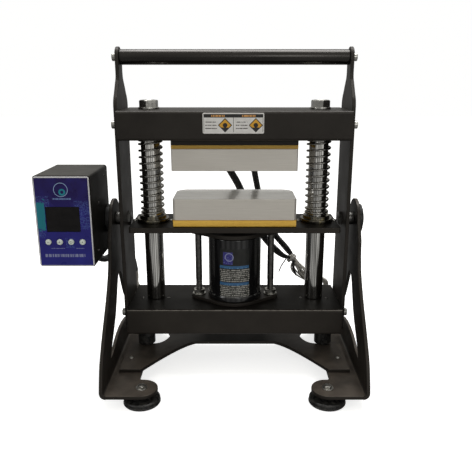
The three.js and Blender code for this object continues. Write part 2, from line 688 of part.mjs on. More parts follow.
// The cross plate from above: four arms that run out to the flanges from a web behind the middle.
function crossPlateShape() {
  const endX = 169;
  const front = { y: -86, arm: [137, -86], bend: [86, -5], web: [63, 4] };
  const back = { y: 104, arm: [137, 104], bend: [104, 72], web: [67, 52] };
  const notch = { x: 107, front: -3, back: 53 };
  const shape = new THREE.Shape();
  shape.moveTo(-endX, front.y);
  shape.lineTo(-front.arm[0], front.arm[1]);
  shape.quadraticCurveTo(-front.bend[0], front.bend[1], -front.web[0], front.web[1]);
  shape.lineTo(...front.web);
  shape.quadraticCurveTo(...front.bend, ...front.arm);
  shape.lineTo(endX, front.y);
  sideNotch(shape, endX, notch, 1);
  shape.lineTo(endX, back.y);
  shape.lineTo(...back.arm);
  shape.quadraticCurveTo(...back.bend, ...back.web);
  shape.lineTo(-back.web[0], back.web[1]);
  shape.quadraticCurveTo(-back.bend[0], back.bend[1], -back.arm[0], back.arm[1]);
  shape.lineTo(-endX, back.y);
  sideNotch(shape, endX, notch, -1);
  return shape;
}

// A round-ended slot let in from the edge at x, drawn up the right side and down the left.
function sideNotch(shape, x, { x: tip, front, back }, sign) {
  const middle = (front + back) / 2;
  const first = sign > 0 ? front : back;
  const last = sign > 0 ? back : front;
  const shoulder = tip + 25;
  shape.lineTo(sign * x, first);
  shape.lineTo(sign * shoulder, first);
  shape.quadraticCurveTo(sign * (tip + 6), first, sign * tip, middle);
  shape.quadraticCurveTo(sign * (tip + 6), last, sign * shoulder, last);
  shape.lineTo(sign * x, last);
}

function buildStand() {
  const side = standSide();
  for (const [label, sign] of sides) {
    add(`stand_side_${label}`, sign > 0 ? side : mirroredX(side), blackPaint);
  }
  const z = stand.flangeZ + sheet + gap;
  add('cross_plate', plateZ(crossPlateShape(), z, z + sheet, 10), blackPaint);
}

function buildFeet() {
  const pad = turned([
    [0, 0], [foot.padRadius - 1.5, 0], [foot.padRadius, 2], [foot.padRadius - 1, 8],
    [14, 11], [12, foot.padHeight], [foot.studRadius + gap, foot.padHeight],
    [foot.studRadius + gap, 5], [0, 5],
  ], 24);
  const nut = { bottom: foot.padHeight + gap, height: 2.2, radius: 7 };
  const studTop = stand.flangeZ + sheet + 5;
  const stud = join(
    barZ(foot.studRadius, 5 + gap, studTop, 20),
    plateZ(hexagon(nut.radius), nut.bottom, nut.bottom + nut.height),
  );
  for (const [label, sign] of sides) {
    for (const [end, y] of [['front', -foot.y], ['rear', foot.y]]) {
      add(`foot_pad_${end}_${label}`, pad, rubber, [sign * foot.x, y, 0]);
      add(`foot_stud_${end}_${label}`, stud, zinc, [sign * foot.x, y, 0]);
    }
  }
}

// ---------------------------------------------------------------- control box
const display = { left: 14.5, width: 46, bottom: 236, height: 35 };
const button = { radius: 4, pitch: 15.5, z: 222, proud: 1.8, flangeRadius: 5.4, count: 4 };
const buttonX = (i) => boxMiddle + (i - (button.count - 1) / 2) * button.pitch;
const inlet = { z: 262, halfWidth: 13.5, halfHeight: 10 };
const boxCorner = 4;
const panelBack = box.front + box.wall;
const coverFront = box.back - box.wall;

function buildHousing() {
  const { left, right, bottom, top, wall } = box;
  const outline = roundedRectangle(left, right, bottom, top, boxCorner);
  const innerCorner = boxCorner - wall;
  const hollow = roundedRectangle(left + wall, right - wall, bottom + wall, top - wall, innerCorner);
  const shell = plateY(outline, panelBack + gap, coverFront - gap, 5);
  const wallHole = barX(pivot.radius + gap, right - wall - 1, right + 1, 24).translate(0, 0, pivotZ);
  const inside = plateY(hollow, panelBack - 5, coverFront + 5, 4);
  add('controller_housing', cut(shell, inside, wallHole), blackPaint);
}

function buildPanel() {
  const { left, right, front, bottom, top } = box;
  const lip = 1.2;
  const outline = roundedRectangle(left + lip, right - lip, bottom + lip, top - lip, boxCorner - lip);
  const x0 = left + display.left;
  const x1 = x0 + display.width;
  const displayTop = display.bottom + display.height;
  const holes = [block(x0, x1, front - 1, panelBack + 1, display.bottom, displayTop)];
  for (let i = 0; i < button.count; i += 1) {
    const hole = barY(button.radius + gap, front - 1, panelBack + 1, 16);
    holes.push(hole.translate(buttonX(i), 0, button.z));
  }
  add('controller_panel', cut(plateY(outline, front, panelBack, 5), ...holes), bluePanel);
  const glass = block(x0 + gap, x1 - gap, front + 0.4, panelBack + 5, display.bottom + gap, displayTop - gap);
  add('controller_display', glass, darkGlass);
}

function buildButtonsAndBoard() {
  const rimFront = panelBack + gap;
  const rim = 2;
  const face = button.proud - box.front;
  const profile = [
    [0, -rimFront - rim], [button.flangeRadius, -rimFront - rim], [button.flangeRadius, -rimFront],
    [button.radius, -rimFront], [button.radius, face - 0.6], [button.radius - 0.7, face], [0, face],
  ];
  for (let i = 0; i < button.count; i += 1) {
    const cap = turned(profile, 16).rotateX(Math.PI / 2);
    add(`button_${i + 1}`, cap, whitePlastic, [buttonX(i), 0, button.z]);
  }
  const travelRoom = 3.2;
  const board = { front: rimFront + rim + travelRoom, thickness: 1.6, edge: 12 };
  const slab = block(box.left + 8, box.right - 14, board.front, board.front + board.thickness,
    box.bottom + board.edge, box.top - board.edge);
  add('controller_board', slab, circuitGreen);
}

// A block centred on the mains inlet.
function inletBlock(halfWidth, halfHeight, y0, y1, x = boxMiddle) {
  return block(x - halfWidth, x + halfWidth, y0, y1, inlet.z - halfHeight, inlet.z + halfHeight);
}

function buildBackCover() {
  const { left, right, back, bottom, top } = box;
  const slab = plateY(roundedRectangle(left, right, bottom, top, boxCorner), coverFront, back, 5);
  const inletHole = inletBlock(inlet.halfWidth + gap, inlet.halfHeight + gap, coverFront - 1, back + 1);
  const bore = harnessRadius + gap;
  const glandHole = barY(bore, coverFront - 1, back + 1, 20).translate(boxMiddle, 0, glandZ);
  const gland = turned([
    [bore, -back - 9], [harnessRadius + 3, -back - 9], [harnessRadius + 4.6, -back + 1], [bore, -back + 1],
    [bore, -back - 9],
  ], 20).rotateX(Math.PI / 2).translate(boxMiddle, 0, glandZ);
  add('controller_back', join(cut(slab, inletHole, glandHole), gland), blackPaint);
}

function buildInlet() {
  const { back } = box;
  const body = inletBlock(inlet.halfWidth, inlet.halfHeight, back - 20, back + 1);
  const rim = inletBlock(17, 13.5, back + gap, back + 3.5);
  const socket = inletBlock(11.5, 7.5, back - 12, back + 5);
  const pins = [-7, 0, 7].map((dx) => inletBlock(1, 2.5, back - 13, back + 1, boxMiddle + dx));
  add('power_inlet', join(cut(join(body, rim), socket), ...pins), blackPlastic);
}

buildFrameSides();
buildBeams();
buildColumns();
buildPlaten();
buildHeaters();
buildBarrel();
buildFlangesAndTieRods();
buildLeads();
buildPivots();
buildStand();
buildFeet();
buildHousing();
buildPanel();
buildButtonsAndBoard();
buildBackCover();
buildInlet();

export default press;
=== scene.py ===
"""A tilting hydraulic heat press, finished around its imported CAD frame.

Sizes are in millimetres and X is counted from the middle of the press, unless a line says otherwise.
"""
import math

import bpy
from mathutils import Matrix, Vector, noise


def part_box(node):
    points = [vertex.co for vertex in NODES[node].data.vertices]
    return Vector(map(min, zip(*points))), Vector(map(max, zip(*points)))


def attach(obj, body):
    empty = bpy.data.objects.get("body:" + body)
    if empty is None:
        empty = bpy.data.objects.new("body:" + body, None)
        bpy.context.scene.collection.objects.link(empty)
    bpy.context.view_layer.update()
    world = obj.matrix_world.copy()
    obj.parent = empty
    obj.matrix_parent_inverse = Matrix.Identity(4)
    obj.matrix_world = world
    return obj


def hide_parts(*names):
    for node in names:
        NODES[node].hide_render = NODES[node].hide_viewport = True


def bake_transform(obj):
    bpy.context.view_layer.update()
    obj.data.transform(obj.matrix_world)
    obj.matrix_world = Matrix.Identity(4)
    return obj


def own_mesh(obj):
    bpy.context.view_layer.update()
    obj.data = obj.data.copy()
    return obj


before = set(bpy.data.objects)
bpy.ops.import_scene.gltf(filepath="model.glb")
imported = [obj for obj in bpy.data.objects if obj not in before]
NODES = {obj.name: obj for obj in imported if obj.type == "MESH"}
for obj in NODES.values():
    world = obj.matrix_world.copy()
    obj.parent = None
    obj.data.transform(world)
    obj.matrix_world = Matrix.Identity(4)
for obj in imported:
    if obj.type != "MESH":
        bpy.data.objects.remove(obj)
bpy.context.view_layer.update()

MM = 0.001
SIDES = (("left", -1), ("right", 1))
ENDS = ("front", "rear")
barrel_low, barrel_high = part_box("cylinder_barrel")
MIDDLE_X = (barrel_low.x + barrel_high.x) / 2 / MM
STAND_SHEET = 5       # thickness of the stand's sides


# ------------------------------------------------------------------ places
class Box:
    """A CAD node's box in millimetres, with X from the middle of the press."""

    def __init__(self, node):
        low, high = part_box(node)
        self.x0, self.x1 = low.x / MM - MIDDLE_X, high.x / MM - MIDDLE_X
        self.y0, self.y1 = low.y / MM, high.y / MM
        self.z0, self.z1 = low.z / MM, high.z / MM
        self.x = (self.x0 + self.x1) / 2
        self.y = (self.y0 + self.y1) / 2
        self.z = (self.z0 + self.z1) / 2
        self.half = (self.x1 - self.x0) / 2

    def outer(self, sign):
        """How far from the middle its far face is, on the side that sign tells."""
        return self.x1 if sign > 0 else -self.x0

    def inner(self, sign):
        return self.x0 if sign > 0 else -self.x1


def to_frame(point):
    return Vector(((point[0] + MIDDLE_X) * MM, point[1] * MM, point[2] * MM))


def place_in_scene(name, data):
    obj = bpy.data.objects.new(name, data)
    bpy.context.scene.collection.objects.link(obj)
    return obj


# ------------------------------------------------------------------ shader tools
class Tree:
    """A shader tree with short ways to add its nodes. Each method gives the socket it made."""

    def __init__(self, tree):
        self.tree = tree

    def add(self, kind, **settings):
        made = self.tree.nodes.new("ShaderNode" + kind)
        for key, value in settings.items():
            setattr(made, key, value)
        return made

    def put(self, socket, value):
        if isinstance(value, bpy.types.NodeSocket):
            self.tree.links.new(value, socket)
        elif socket.type == "RGBA":
            socket.default_value = (*value, 1)
        else:
            socket.default_value = value

    def math(self, operation, a, b=0.0, c=0.0):
        made = self.add("Math", operation=operation)
        for socket, value in zip(made.inputs, (a, b, c)):
            self.put(socket, value)
        return made.outputs[0]

    def times(self, a, b):
        return self.math("MULTIPLY", a, b)

    def minus(self, a, b):
        return self.math("SUBTRACT", a, b)

    def split(self, vector):
        made = self.add("SeparateXYZ")
        self.put(made.inputs[0], vector)
        return made.outputs

    def ramp(self, value, *stops):
        made = self.add("ValToRGB")
        elements = made.color_ramp.elements
        while len(elements) < len(stops):
            elements.new(1.0)
        for element, (position, colour) in zip(elements, stops):
            element.position = position
            element.color = (*colour, 1) if isinstance(colour, tuple) else (colour, colour, colour, 1)
        self.put(made.inputs[0], value)
        return made.outputs["Color"]

    def mix(self, factor, a, b):
        made = self.add("Mix", data_type="RGBA")
        for number, value in ((0, factor), (6, a), (7, b)):
            self.put(made.inputs[number], value)
        return made.outputs[2]


LOOKS = {}


class Shader(Tree):
    """A Principled material, kept in LOOKS under its name."""

    def __init__(self, name, colour, roughness, metallic=0.0):
        material = bpy.data.materials.new(name)
        material.use_nodes = True
        super().__init__(material.node_tree)
        self.bsdf = self.tree.nodes["Principled BSDF"]
        self.colour(colour)
        self.roughness(roughness)
        self.set("Metallic", metallic)
        LOOKS[name] = material

    def set(self, name, value):
        self.put(self.bsdf.inputs[name], value)

    def colour(self, value):
        self.coat = value
        self.set("Base Color", value)

    def paint(self, mask, ink, share=1.0):
        """Lays ink over the colour so far, where the mask is 1."""
        self.colour(self.mix(mask if share == 1.0 else self.times(mask, share), self.coat, ink))

    def roughness(self, value):
        self.set("Roughness", value)

    def bump(self, height, depth):
        """Relief of depth millimetres; a second call lies on top of the first."""
        made = self.add("Bump")
        made.inputs["Distance"].default_value = depth * MM
        self.put(made.inputs["Height"], height)
        normal = self.bsdf.inputs["Normal"]
        if normal.is_linked:
            self.put(made.inputs["Normal"], normal.links[0].from_socket)
        self.put(normal, made.outputs[0])

    def place(self, scale=(1, 1, 1)):
        """Where a point is in the frame, in millimetres, stretched by scale."""
        mapping = self.add("Mapping")
        mapping.inputs["Scale"].default_value = [s / MM for s in scale]
        self.put(mapping.inputs["Vector"], self.add("TexCoord").outputs["Object"])
        return mapping.outputs[0]

    def grain(self, vector, detail, rough=0.5):
        made = self.add("TexNoise")
        for name, value in (("Vector", vector), ("Scale", 1.0), ("Detail", detail), ("Roughness", rough)):
            self.put(made.inputs[name], value)
        return made.outputs["Fac"]

    def noise(self, size, stretch=(1, 1, 1), detail=3.0, rough=0.55):
        """Noise with features of about size millimetres, drawn out along an axis by stretch."""
        return self.grain(self.place([1 / (size * s) for s in stretch]), detail, rough)

    def upward(self):
        """1 on the faces that look up, 0 elsewhere."""
        normal = self.split(self.add("TexCoord").outputs["Normal"])
        return self.math("GREATER_THAN", normal["Z"], 0.8)

    def round_tube(self):
        """A tube's own millimetres along, and its turns around."""
        return [self.add("Attribute", attribute_name=name).outputs["Fac"] for name in ("along", "around")]

    def coordinates(self, x, z):
        """Millimetres across and up from the point x, z. The shapes below are drawn in them."""
        spot = self.split(self.place())
        self.uv = (self.minus(spot["X"], x + MIDDLE_X), self.minus(spot["Z"], z))
        return self.uv

    def within(self, value, low, high):
        return self.times(self.math("GREATER_THAN", value, low), self.math("LESS_THAN", value, high))

    def rectangle(self, u0, u1, v0, v1, uv=None):
        u, v = uv or self.uv
        return self.times(self.within(u, u0, u1), self.within(v, v0, v1))

    def ring(self, u, v, inner, outer):
        squares = [self.math("POWER", self.minus(a, b), 2.0) for a, b in zip(self.uv, (u, v))]
        return self.within(self.math("SQRT", self.math("ADD", *squares)), inner, outer)

    def diamond(self, u, v, reach):
        parts = [self.math("ABSOLUTE", self.minus(a, b)) for a, b in zip(self.uv, (u, v))]
        return self.math("LESS_THAN", self.math("ADD", *parts), reach)

    def rows(self, area, pitch, thick, break_size, fill):
        """Rows of short unreadable dashes inside an area (u0, u1, v0, v1)."""
        height = self.math("DIVIDE", self.minus(self.uv[1], area[2]), pitch)
        line = self.math("LESS_THAN", self.math("FRACT", height), thick)
        join = self.add("CombineXYZ")
        self.put(join.inputs[0], self.math("DIVIDE", self.uv[0], break_size))
        self.put(join.inputs[1], self.times(self.math("FLOOR", height), 7.3))
        words = self.math("GREATER_THAN", self.grain(join.outputs[0], 1.0), fill)
        return self.times(self.times(line, words), self.rectangle(*area))


# ------------------------------------------------------------------ camera, lights and floor
def make_camera():
    data = bpy.data.cameras.new("camera")
    data.sensor_width = 36
    data.lens = 41.98
    data.clip_start, data.clip_end = 0.05, 20
    camera = place_in_scene("camera", data)
    camera.location = (0.04035, -0.8083, 0.4348)
    camera.rotation_euler = (math.radians(74.48), 0, 0)
    bpy.context.scene.camera = camera


def area_light(name, place, target, size, power, mirrored=True):
    data = bpy.data.lights.new(name, "AREA")
    data.shape = "RECTANGLE"
    data.size, data.size_y = size
    data.energy = power
    light = place_in_scene(name, data)
    light.location = place
    aim = Vector(target) - Vector(place)
    light.rotation_euler = aim.to_track_quat("-Z", "Y").to_euler()
    light.visible_glossy = mirrored


def make_lights():
    middle = (0.04, 0.0, 0.25)
    area_light("top_softbox", (0.1, 0.3, 1.7), middle, (1.4, 0.9), 22)
    area_light("front_softbox", (0.5, -1.9, 1.0), middle, (0.7, 0.7), 3)
    area_light("left_softbox", (-1.4, -0.9, 0.9), middle, (0.4, 1.0), 3)
    area_light("floor_bounce", (0.04, -0.6, 0.02), (0.04, 0, 0.06), (1.3, 0.25), 0.45, mirrored=False)


# Brightness of the studio by compass direction, from 0 behind the press, over 0.25 to its left, 0.5 in
# front of it and 0.75 to its right: a dim backdrop, dark sides, and tall strips of light at the front.
STUDIO = (
    (0.0, 0.42), (0.12, 0.35), (0.17, 0.03), (0.335, 0.03), (0.35, 0.5), (0.375, 0.45), (0.385, 0.12),
    (0.4, 0.15), (0.41, 0.6), (0.435, 0.55), (0.445, 0.2), (0.465, 0.3), (0.48, 0.6), (0.495, 0.5),
    (0.51, 0.2), (0.53, 0.45), (0.545, 0.9), (0.56, 0.8), (0.575, 0.25), (0.59, 0.3), (0.6, 0.85),
    (0.63, 0.7), (0.64, 0.15), (0.655, 0.5), (0.675, 0.03), (0.86, 0.03), (0.9, 0.35), (1.0, 0.42))


def make_world():
    """White where the camera sees it; for everything else a studio with softboxes and a bright ceiling."""
    world = bpy.data.worlds.new("studio")
    bpy.context.scene.world = world
    world.use_nodes = True
    world.node_tree.nodes.clear()
    tree = Tree(world.node_tree)
    way = tree.split(tree.add("TexCoord").outputs["Generated"])
    compass = tree.math("ARCTAN2", way["X"], tree.times(way["Y"], -1.0))
    turn = tree.math("MULTIPLY_ADD", compass, 1 / (2 * math.pi), 0.5)
    walls = tree.ramp(turn, *((place, (grey, grey * 0.99, grey * 0.96)) for place, grey in STUDIO))
    room = tree.mix(tree.ramp(way["Z"], (0.3, 0.0), (0.75, 1.0)), walls, (0.5, 0.49, 0.46))
    below = tree.times(tree.math("LESS_THAN", way["Z"], -0.02), 0.5)
    studio, white = tree.add("Background"), tree.add("Background")
    tree.put(studio.inputs["Color"], tree.mix(below, room, (0.1, 0.1, 0.1)))
    tree.put(white.inputs["Color"], (1, 1, 0.995))
    seen = tree.add("MixShader")
    from_camera = tree.add("LightPath").outputs["Is Camera Ray"]
    for socket, value in zip(seen.inputs, (from_camera, studio.outputs[0], white.outputs[0])):
        tree.put(socket, value)
    tree.put(tree.add("OutputWorld").inputs["Surface"], seen.outputs[0])


def make_floor():
    reach = 6.0
    mesh = bpy.data.meshes.new("floor")
    corners = [(-reach, -reach, 0), (reach, -reach, 0), (reach, reach, 0), (-reach, reach, 0)]
    mesh.from_pydata(corners, [], [(0, 1, 2, 3)])
    floor = place_in_scene("floor", mesh)
    floor.visible_glossy = False
    floor.visible_diffuse = False
    shader = Shader("floor_white", (0.9, 0.9, 0.895), 0.9)
    shader.set("Specular IOR Level", 0)
    shader.set("Emission Color", (1, 1, 0.995))
    shader.set("Emission Strength", 0.72)
    mesh.materials.append(LOOKS["floor_white"])


# ------------------------------------------------------------------ paints and metals
def painted(name, dark, light, roughness, grain=0.9, depth=0.035, glint=0.35):
    """Powder coat: fine orange peel, slow colour drift and rubbed patches."""
    shader = Shader(name, dark, roughness)
    shader.set("Specular IOR Level", glint)
    shader.set("Specular Tint", (1.0, 0.94, 0.87))
    drift = shader.noise(38, detail=4)
    dust = shader.noise(3.2, detail=6, rough=0.7)
    shader.paint(shader.ramp(drift, (0.3, 0.0), (0.75, 1.0)), light)
    shader.paint(shader.ramp(dust, (0.55, 0.0), (0.8, 0.25)), tuple(1.7 * c for c in light))
    shader.roughness(shader.ramp(drift, (0.25, roughness - 0.07), (0.8, roughness + 0.08)))
    shader.bump(shader.noise(grain, detail=2), depth)
    return shader


def paint_top_dust_light_and_shade(shader, top, glint, top_glint, middle=0):
    """Gives the faces that look up their own colour and shine, but for a dull middle of the press. The dull
    middle is painted shade under the beam: darker colour and less shine.
    """
    upward = shader.upward()
    outer = 1.0
    if middle:
        across = shader.math("ABSOLUTE", shader.coordinates(0, 0)[0])
        edge = 0.005 * middle
        outer = shader.ramp(shader.times(across, 0.005), (edge, 0.12), (edge + 0.35, 1.0))
    blotch = shader.ramp(shader.noise(26, detail=4), (0.35, 0.5), (0.65, 1.0))
    # worn, the share of the top colour, is blotchy, and outer cuts it in the middle of the press: painted
    # shade under the beam, which also lowers the shine there.
    worn = shader.times(blotch, outer)
    shader.paint(upward, shader.mix(worn, (0.004, 0.0035, 0.003), top))
    change = shader.math("MULTIPLY_ADD", outer, top_glint, -glint)
    shader.set("Specular IOR Level", shader.math("MULTIPLY_ADD", upward, change, glint))


def make_beam_paint():
    """The lower beam: painted shade on top, dark where it lies under the platen, and a pale line along its
    top edges, partly worn paint and partly a painted highlight.
    """
    shader = painted("beam_paint", (0.0175, 0.0146, 0.0118), (0.028, 0.0236, 0.0192), 0.46)
    # The darker colour and low shine of the upward faces are painted shade under the platen.
    paint_top_dust_light_and_shade(shader, (0.009, 0.0078, 0.0065), 0.35, 0.1)
    # A pale line just under the top edge of the front and rear faces: worn paint and a painted highlight of
    # the rounded edge.
    height = shader.coordinates(0, Box("bottom_beam").z1)[1]
    edge_wear_and_highlight = shader.ramp(shader.noise(9, detail=4), (0.35, 0.35), (0.6, 0.9))
    line = shader.times(shader.within(height, -1.5, 0.1), edge_wear_and_highlight)
    shader.paint(shader.times(line, shader.minus(1.0, shader.upward())), (0.26, 0.24, 0.21))


def make_stand_paint():
    """The stand: its flanges are rubbed and dusty on top, and the web under the press is not; there it is
    painted dark, as painted shade under the beam.
    """
    shader = painted("stand_paint", (0.0135, 0.0112, 0.0092), (0.022, 0.0185, 0.015), 0.42)
    # Dust on the upward faces; toward the middle, under the beam, painted shade.
    paint_top_dust_light_and_shade(shader, (0.085, 0.07, 0.056), 0.35, 0.4, middle=45)


def make_box_paint():
    dark, light = (0.007, 0.0066, 0.0056), (0.011, 0.0102, 0.0085)
    shader = painted("box_paint", dark, light, 0.42, 0.6, 0.02, glint=0.16)
    # The lighter colour and stronger shine on the box's top faces are painted light from above.
    paint_top_dust_light_and_shade(shader, (0.026, 0.0236, 0.0182), 0.16, 0.36)


def make_enamel():
    shader = Shader("cylinder_enamel", (0.006, 0.006, 0.0065), 0.16)
    shader.set("Coat Weight", 0.6)
    shader.set("Coat Roughness", 0.08)
    shader.roughness(shader.ramp(shader.noise(22, (1, 1, 2.5), detail=4), (0.3, 0.12), (0.8, 0.27)))
    shader.bump(shader.noise(6), 0.03)


def make_aluminium():
    """Milled aluminium: long cutter lines, soft stains and a few short scratches, and a near-white working
    face on top that is painted light.
    """
    bright, dark = (0.8, 0.76, 0.69), (0.7, 0.66, 0.59)
    shader = Shader("heater_aluminium", dark, 0.42, 0.45)
    lines = shader.noise(0.45, (70, 9, 1), detail=5, rough=0.65)
    stain = shader.noise(26, (2.2, 1, 1), detail=4)
    scratch = shader.noise(0.7, (26, 2, 1), detail=2)
    lit_working_face = shader.upward()
    shader.paint(shader.ramp(lines, (0.3, 0.0), (0.7, 1.0)), bright)
    # Painted light: the upward working face is painted near-white, lighter than the sides.
    shader.paint(lit_working_face, (1.0, 0.99, 0.95))
    shader.paint(shader.ramp(stain, (0.35, 0.3), (0.65, 0.0)), dark)
    shader.paint(shader.ramp(scratch, (0.735, 0.0), (0.76, 0.5)), (0.34, 0.31, 0.27))
    rough = shader.ramp(stain, (0.3, 0.36), (0.7, 0.5))
    smooth = shader.ramp(stain, (0.3, 0.2), (0.7, 0.27))
    shader.roughness(shader.mix(lit_working_face, rough, smooth))
    shader.bump(lines, 0.02)


def make_chrome():
    shader = Shader("column_chrome", (0.62, 0.61, 0.59), 0.09, 1.0)
    streak = shader.noise(1.1, (1, 1, 60), detail=3)
    grey, pale, white = (0.3, 0.295, 0.28), (0.66, 0.65, 0.62), (0.92, 0.91, 0.88)
    shader.colour(shader.ramp(streak, (0.38, grey), (0.5, pale), (0.6, white)))
    shader.roughness(shader.ramp(shader.noise(9, (1, 1, 5)), (0.3, 0.05), (0.75, 0.15)))
    shader.bump(streak, 0.012)


def make_steel(name, colour, roughness, stain=0.5):
    shader = Shader(name, colour, roughness, 1.0)
    patch = shader.noise(4.5, detail=5)
    shader.paint(shader.ramp(patch, (0.4, 0.0), (0.72, 1.0)), tuple(c * stain for c in colour))
    shader.roughness(shader.ramp(patch, (0.3, roughness), (0.75, roughness + 0.16)))
    shader.bump(shader.noise(0.8), 0.015)


def make_brass():
    shader = Shader("bush_brass", (0.34, 0.25, 0.1), 0.3, 1.0)
    oil = shader.noise(7, detail=5)
    black, grey, yellow = (0.1, 0.095, 0.082), (0.24, 0.22, 0.17), (0.6, 0.52, 0.26)
    shader.colour(shader.ramp(oil, (0.4, black), (0.6, grey), (0.74, yellow)))
    shader.roughness(shader.ramp(oil, (0.3, 0.16), (0.8, 0.3)))
    shader.bump(shader.noise(0.5, (12, 12, 1)), 0.02)


# ------------------------------------------------------------------ rubber, plastics, boards and wires
def make_rubber():
    shader = Shader("foot_rubber", (0.011, 0.011, 0.0105), 0.3)
    dust = shader.noise(5, detail=6, rough=0.7)
    shader.colour(shader.ramp(dust, (0.45, (0.009, 0.009, 0.0088)), (0.75, (0.055, 0.052, 0.046))))
    shader.roughness(shader.ramp(dust, (0.35, 0.24), (0.75, 0.5)))
    shader.bump(shader.noise(0.7), 0.03)


def make_insulation(name, light_and_shade):
    """Glass-filled board: fine layers seen at the cut edges, and browner where it has been hotter."""
    shader = Shader(name, (0.8, 0.48, 0.06), 0.55)
    layers = shader.noise(0.28, (90, 90, 1), detail=3)
    flecks = shader.noise(1.1, (5, 5, 1), detail=5)
    colours = ((0.72, 0.4, 0.045), (0.95, 0.6, 0.1), (0.56, 0.28, 0.03))
    # light_and_shade scales all colours, so one board makes a lighter copy with painted light and a darker
    # copy with painted shade.
    amber, yellow, brown = (tuple(light_and_shade * c for c in colour) for colour in colours)
    shader.colour(shader.ramp(layers, (0.35, amber), (0.65, yellow)))
    shader.paint(shader.ramp(flecks, (0.5, 0.0), (0.75, 0.5)), brown)
    shader.bump(layers, 0.03)


def make_braid():
    """Braided sleeving: two sets of threads that cross on the slant."""
    shader = Shader("lead_braid", (0.012, 0.012, 0.0125), 0.55)
    shader.set("Sheen Weight", 0.25)
    shader.set("Sheen Roughness", 0.4)
    along, around = shader.round_tube()
    pitch, threads = 5.0, 9.0
    waves = []
    for sign in (1.0, -1.0):
        slant = shader.math("ADD", shader.times(along, sign / pitch), around)
        waves.append(shader.math("SINE", shader.times(slant, threads * 2 * math.pi)))
    weave = shader.math("MULTIPLY_ADD", shader.times(*waves), 0.5, 0.5)
    shader.colour(shader.ramp(weave, (0.25, (0.004, 0.004, 0.004)), (0.85, (0.03, 0.03, 0.031))))
    shader.roughness(shader.ramp(weave, (0.2, 0.7), (0.9, 0.42)))
    shader.bump(weave, 0.35)


def make_harness():
    """Twisted glass-fibre wires, off-white and grimy."""
    shader = Shader("harness_wire", (0.58, 0.56, 0.5), 0.7)
    shader.set("Sheen Weight", 0.3)
    along, around = shader.round_tube()
    turn = shader.math("MULTIPLY_ADD", along, 4.2, shader.times(around, 12.56))
    thread = shader.math("MULTIPLY_ADD", shader.math("SINE", turn), 0.5, 0.5)
    shader.paint(thread, (0.86, 0.84, 0.78))
    shader.paint(shader.ramp(shader.noise(6, detail=5), (0.45, 0.0), (0.75, 0.6)), (0.4, 0.35, 0.29))
    shader.bump(thread, 0.12)


def make_nylon():
    shader = Shader("tie_nylon", (0.62, 0.61, 0.57), 0.4)
    shader.set("Subsurface Weight", 0.15)
    shader.set("Subsurface Radius", (0.002, 0.002, 0.0015))
    shader.colour(shader.ramp(shader.noise(5), (0.3, (0.55, 0.53, 0.48)), (0.7, (0.68, 0.67, 0.63))))
    shader.bump(shader.noise(0.9), 0.03)


def make_black_plastic():
    colour, roughness = (0.012, 0.012, 0.012), 0.42
    shader = Shader("black_plastic", colour, roughness)
    cloud = shader.noise(9, detail=4)
    shader.paint(shader.ramp(cloud, (0.4, 0.0), (0.8, 0.5)), (0.022, 0.022, 0.022))
    shader.roughness(shader.ramp(cloud, (0.3, roughness - 0.05), (0.8, roughness + 0.08)))
    shader.bump(shader.noise(0.5, detail=2), 0.02)


def make_display_glass():
    shader = Shader("display_glass", (0.0105, 0.0095, 0.0095), 0.12)
    shader.set("Specular IOR Level", 0.25)
    smear = shader.noise(7, (2, 1, 1), detail=5)
    shader.colour(shader.ramp(smear, (0.3, (0.009, 0.0082, 0.0082)), (0.8, (0.014, 0.0125, 0.0125))))
    shader.roughness(shader.ramp(smear, (0.35, 0.1), (0.75, 0.24)))


def make_board_laminate():
    shader = Shader("board_laminate", (0.01, 0.09, 0.035), 0.4)
    tracks = shader.noise(2.4, (6, 1, 1), detail=1)
    shader.colour(shader.ramp(tracks, (0.48, (0.008, 0.075, 0.03)), (0.52, (0.02, 0.14, 0.06))))
    shader.bump(tracks, 0.05)


# ------------------------------------------------------------------ printed faces
def make_button_plastic():
    """Milky caps, each with a small grey mark in its middle: minus, plus, ring and dot."""
    shader = Shader("button_plastic", (0.74, 0.8, 0.72), 0.35)
    cloud = shader.noise(2.5)
    shader.colour(shader.ramp(cloud, (0.3, (0.66, 0.73, 0.65)), (0.7, (0.82, 0.87, 0.8))))
    level, upright = (-1.5, 1.5, -0.3, 0.3), (-0.3, 0.3, -1.5, 1.5)
    hollow, dot = (0, 0, 1.1, 1.7), (0, 0, -1, 0.8)
    draw_bar, draw_ring = shader.rectangle, shader.ring
    marks = ((1, draw_bar, level), (2, draw_bar, level), (2, draw_bar, upright), (3, draw_ring, hollow),
             (4, draw_ring, dot))
    for number, draw, extent in marks:
        cap = Box(f"button_{number}")
        shader.coordinates(cap.x, cap.z)
        shader.paint(draw(*extent), (0.16, 0.2, 0.15))
    shader.bump(cloud, 0.01)


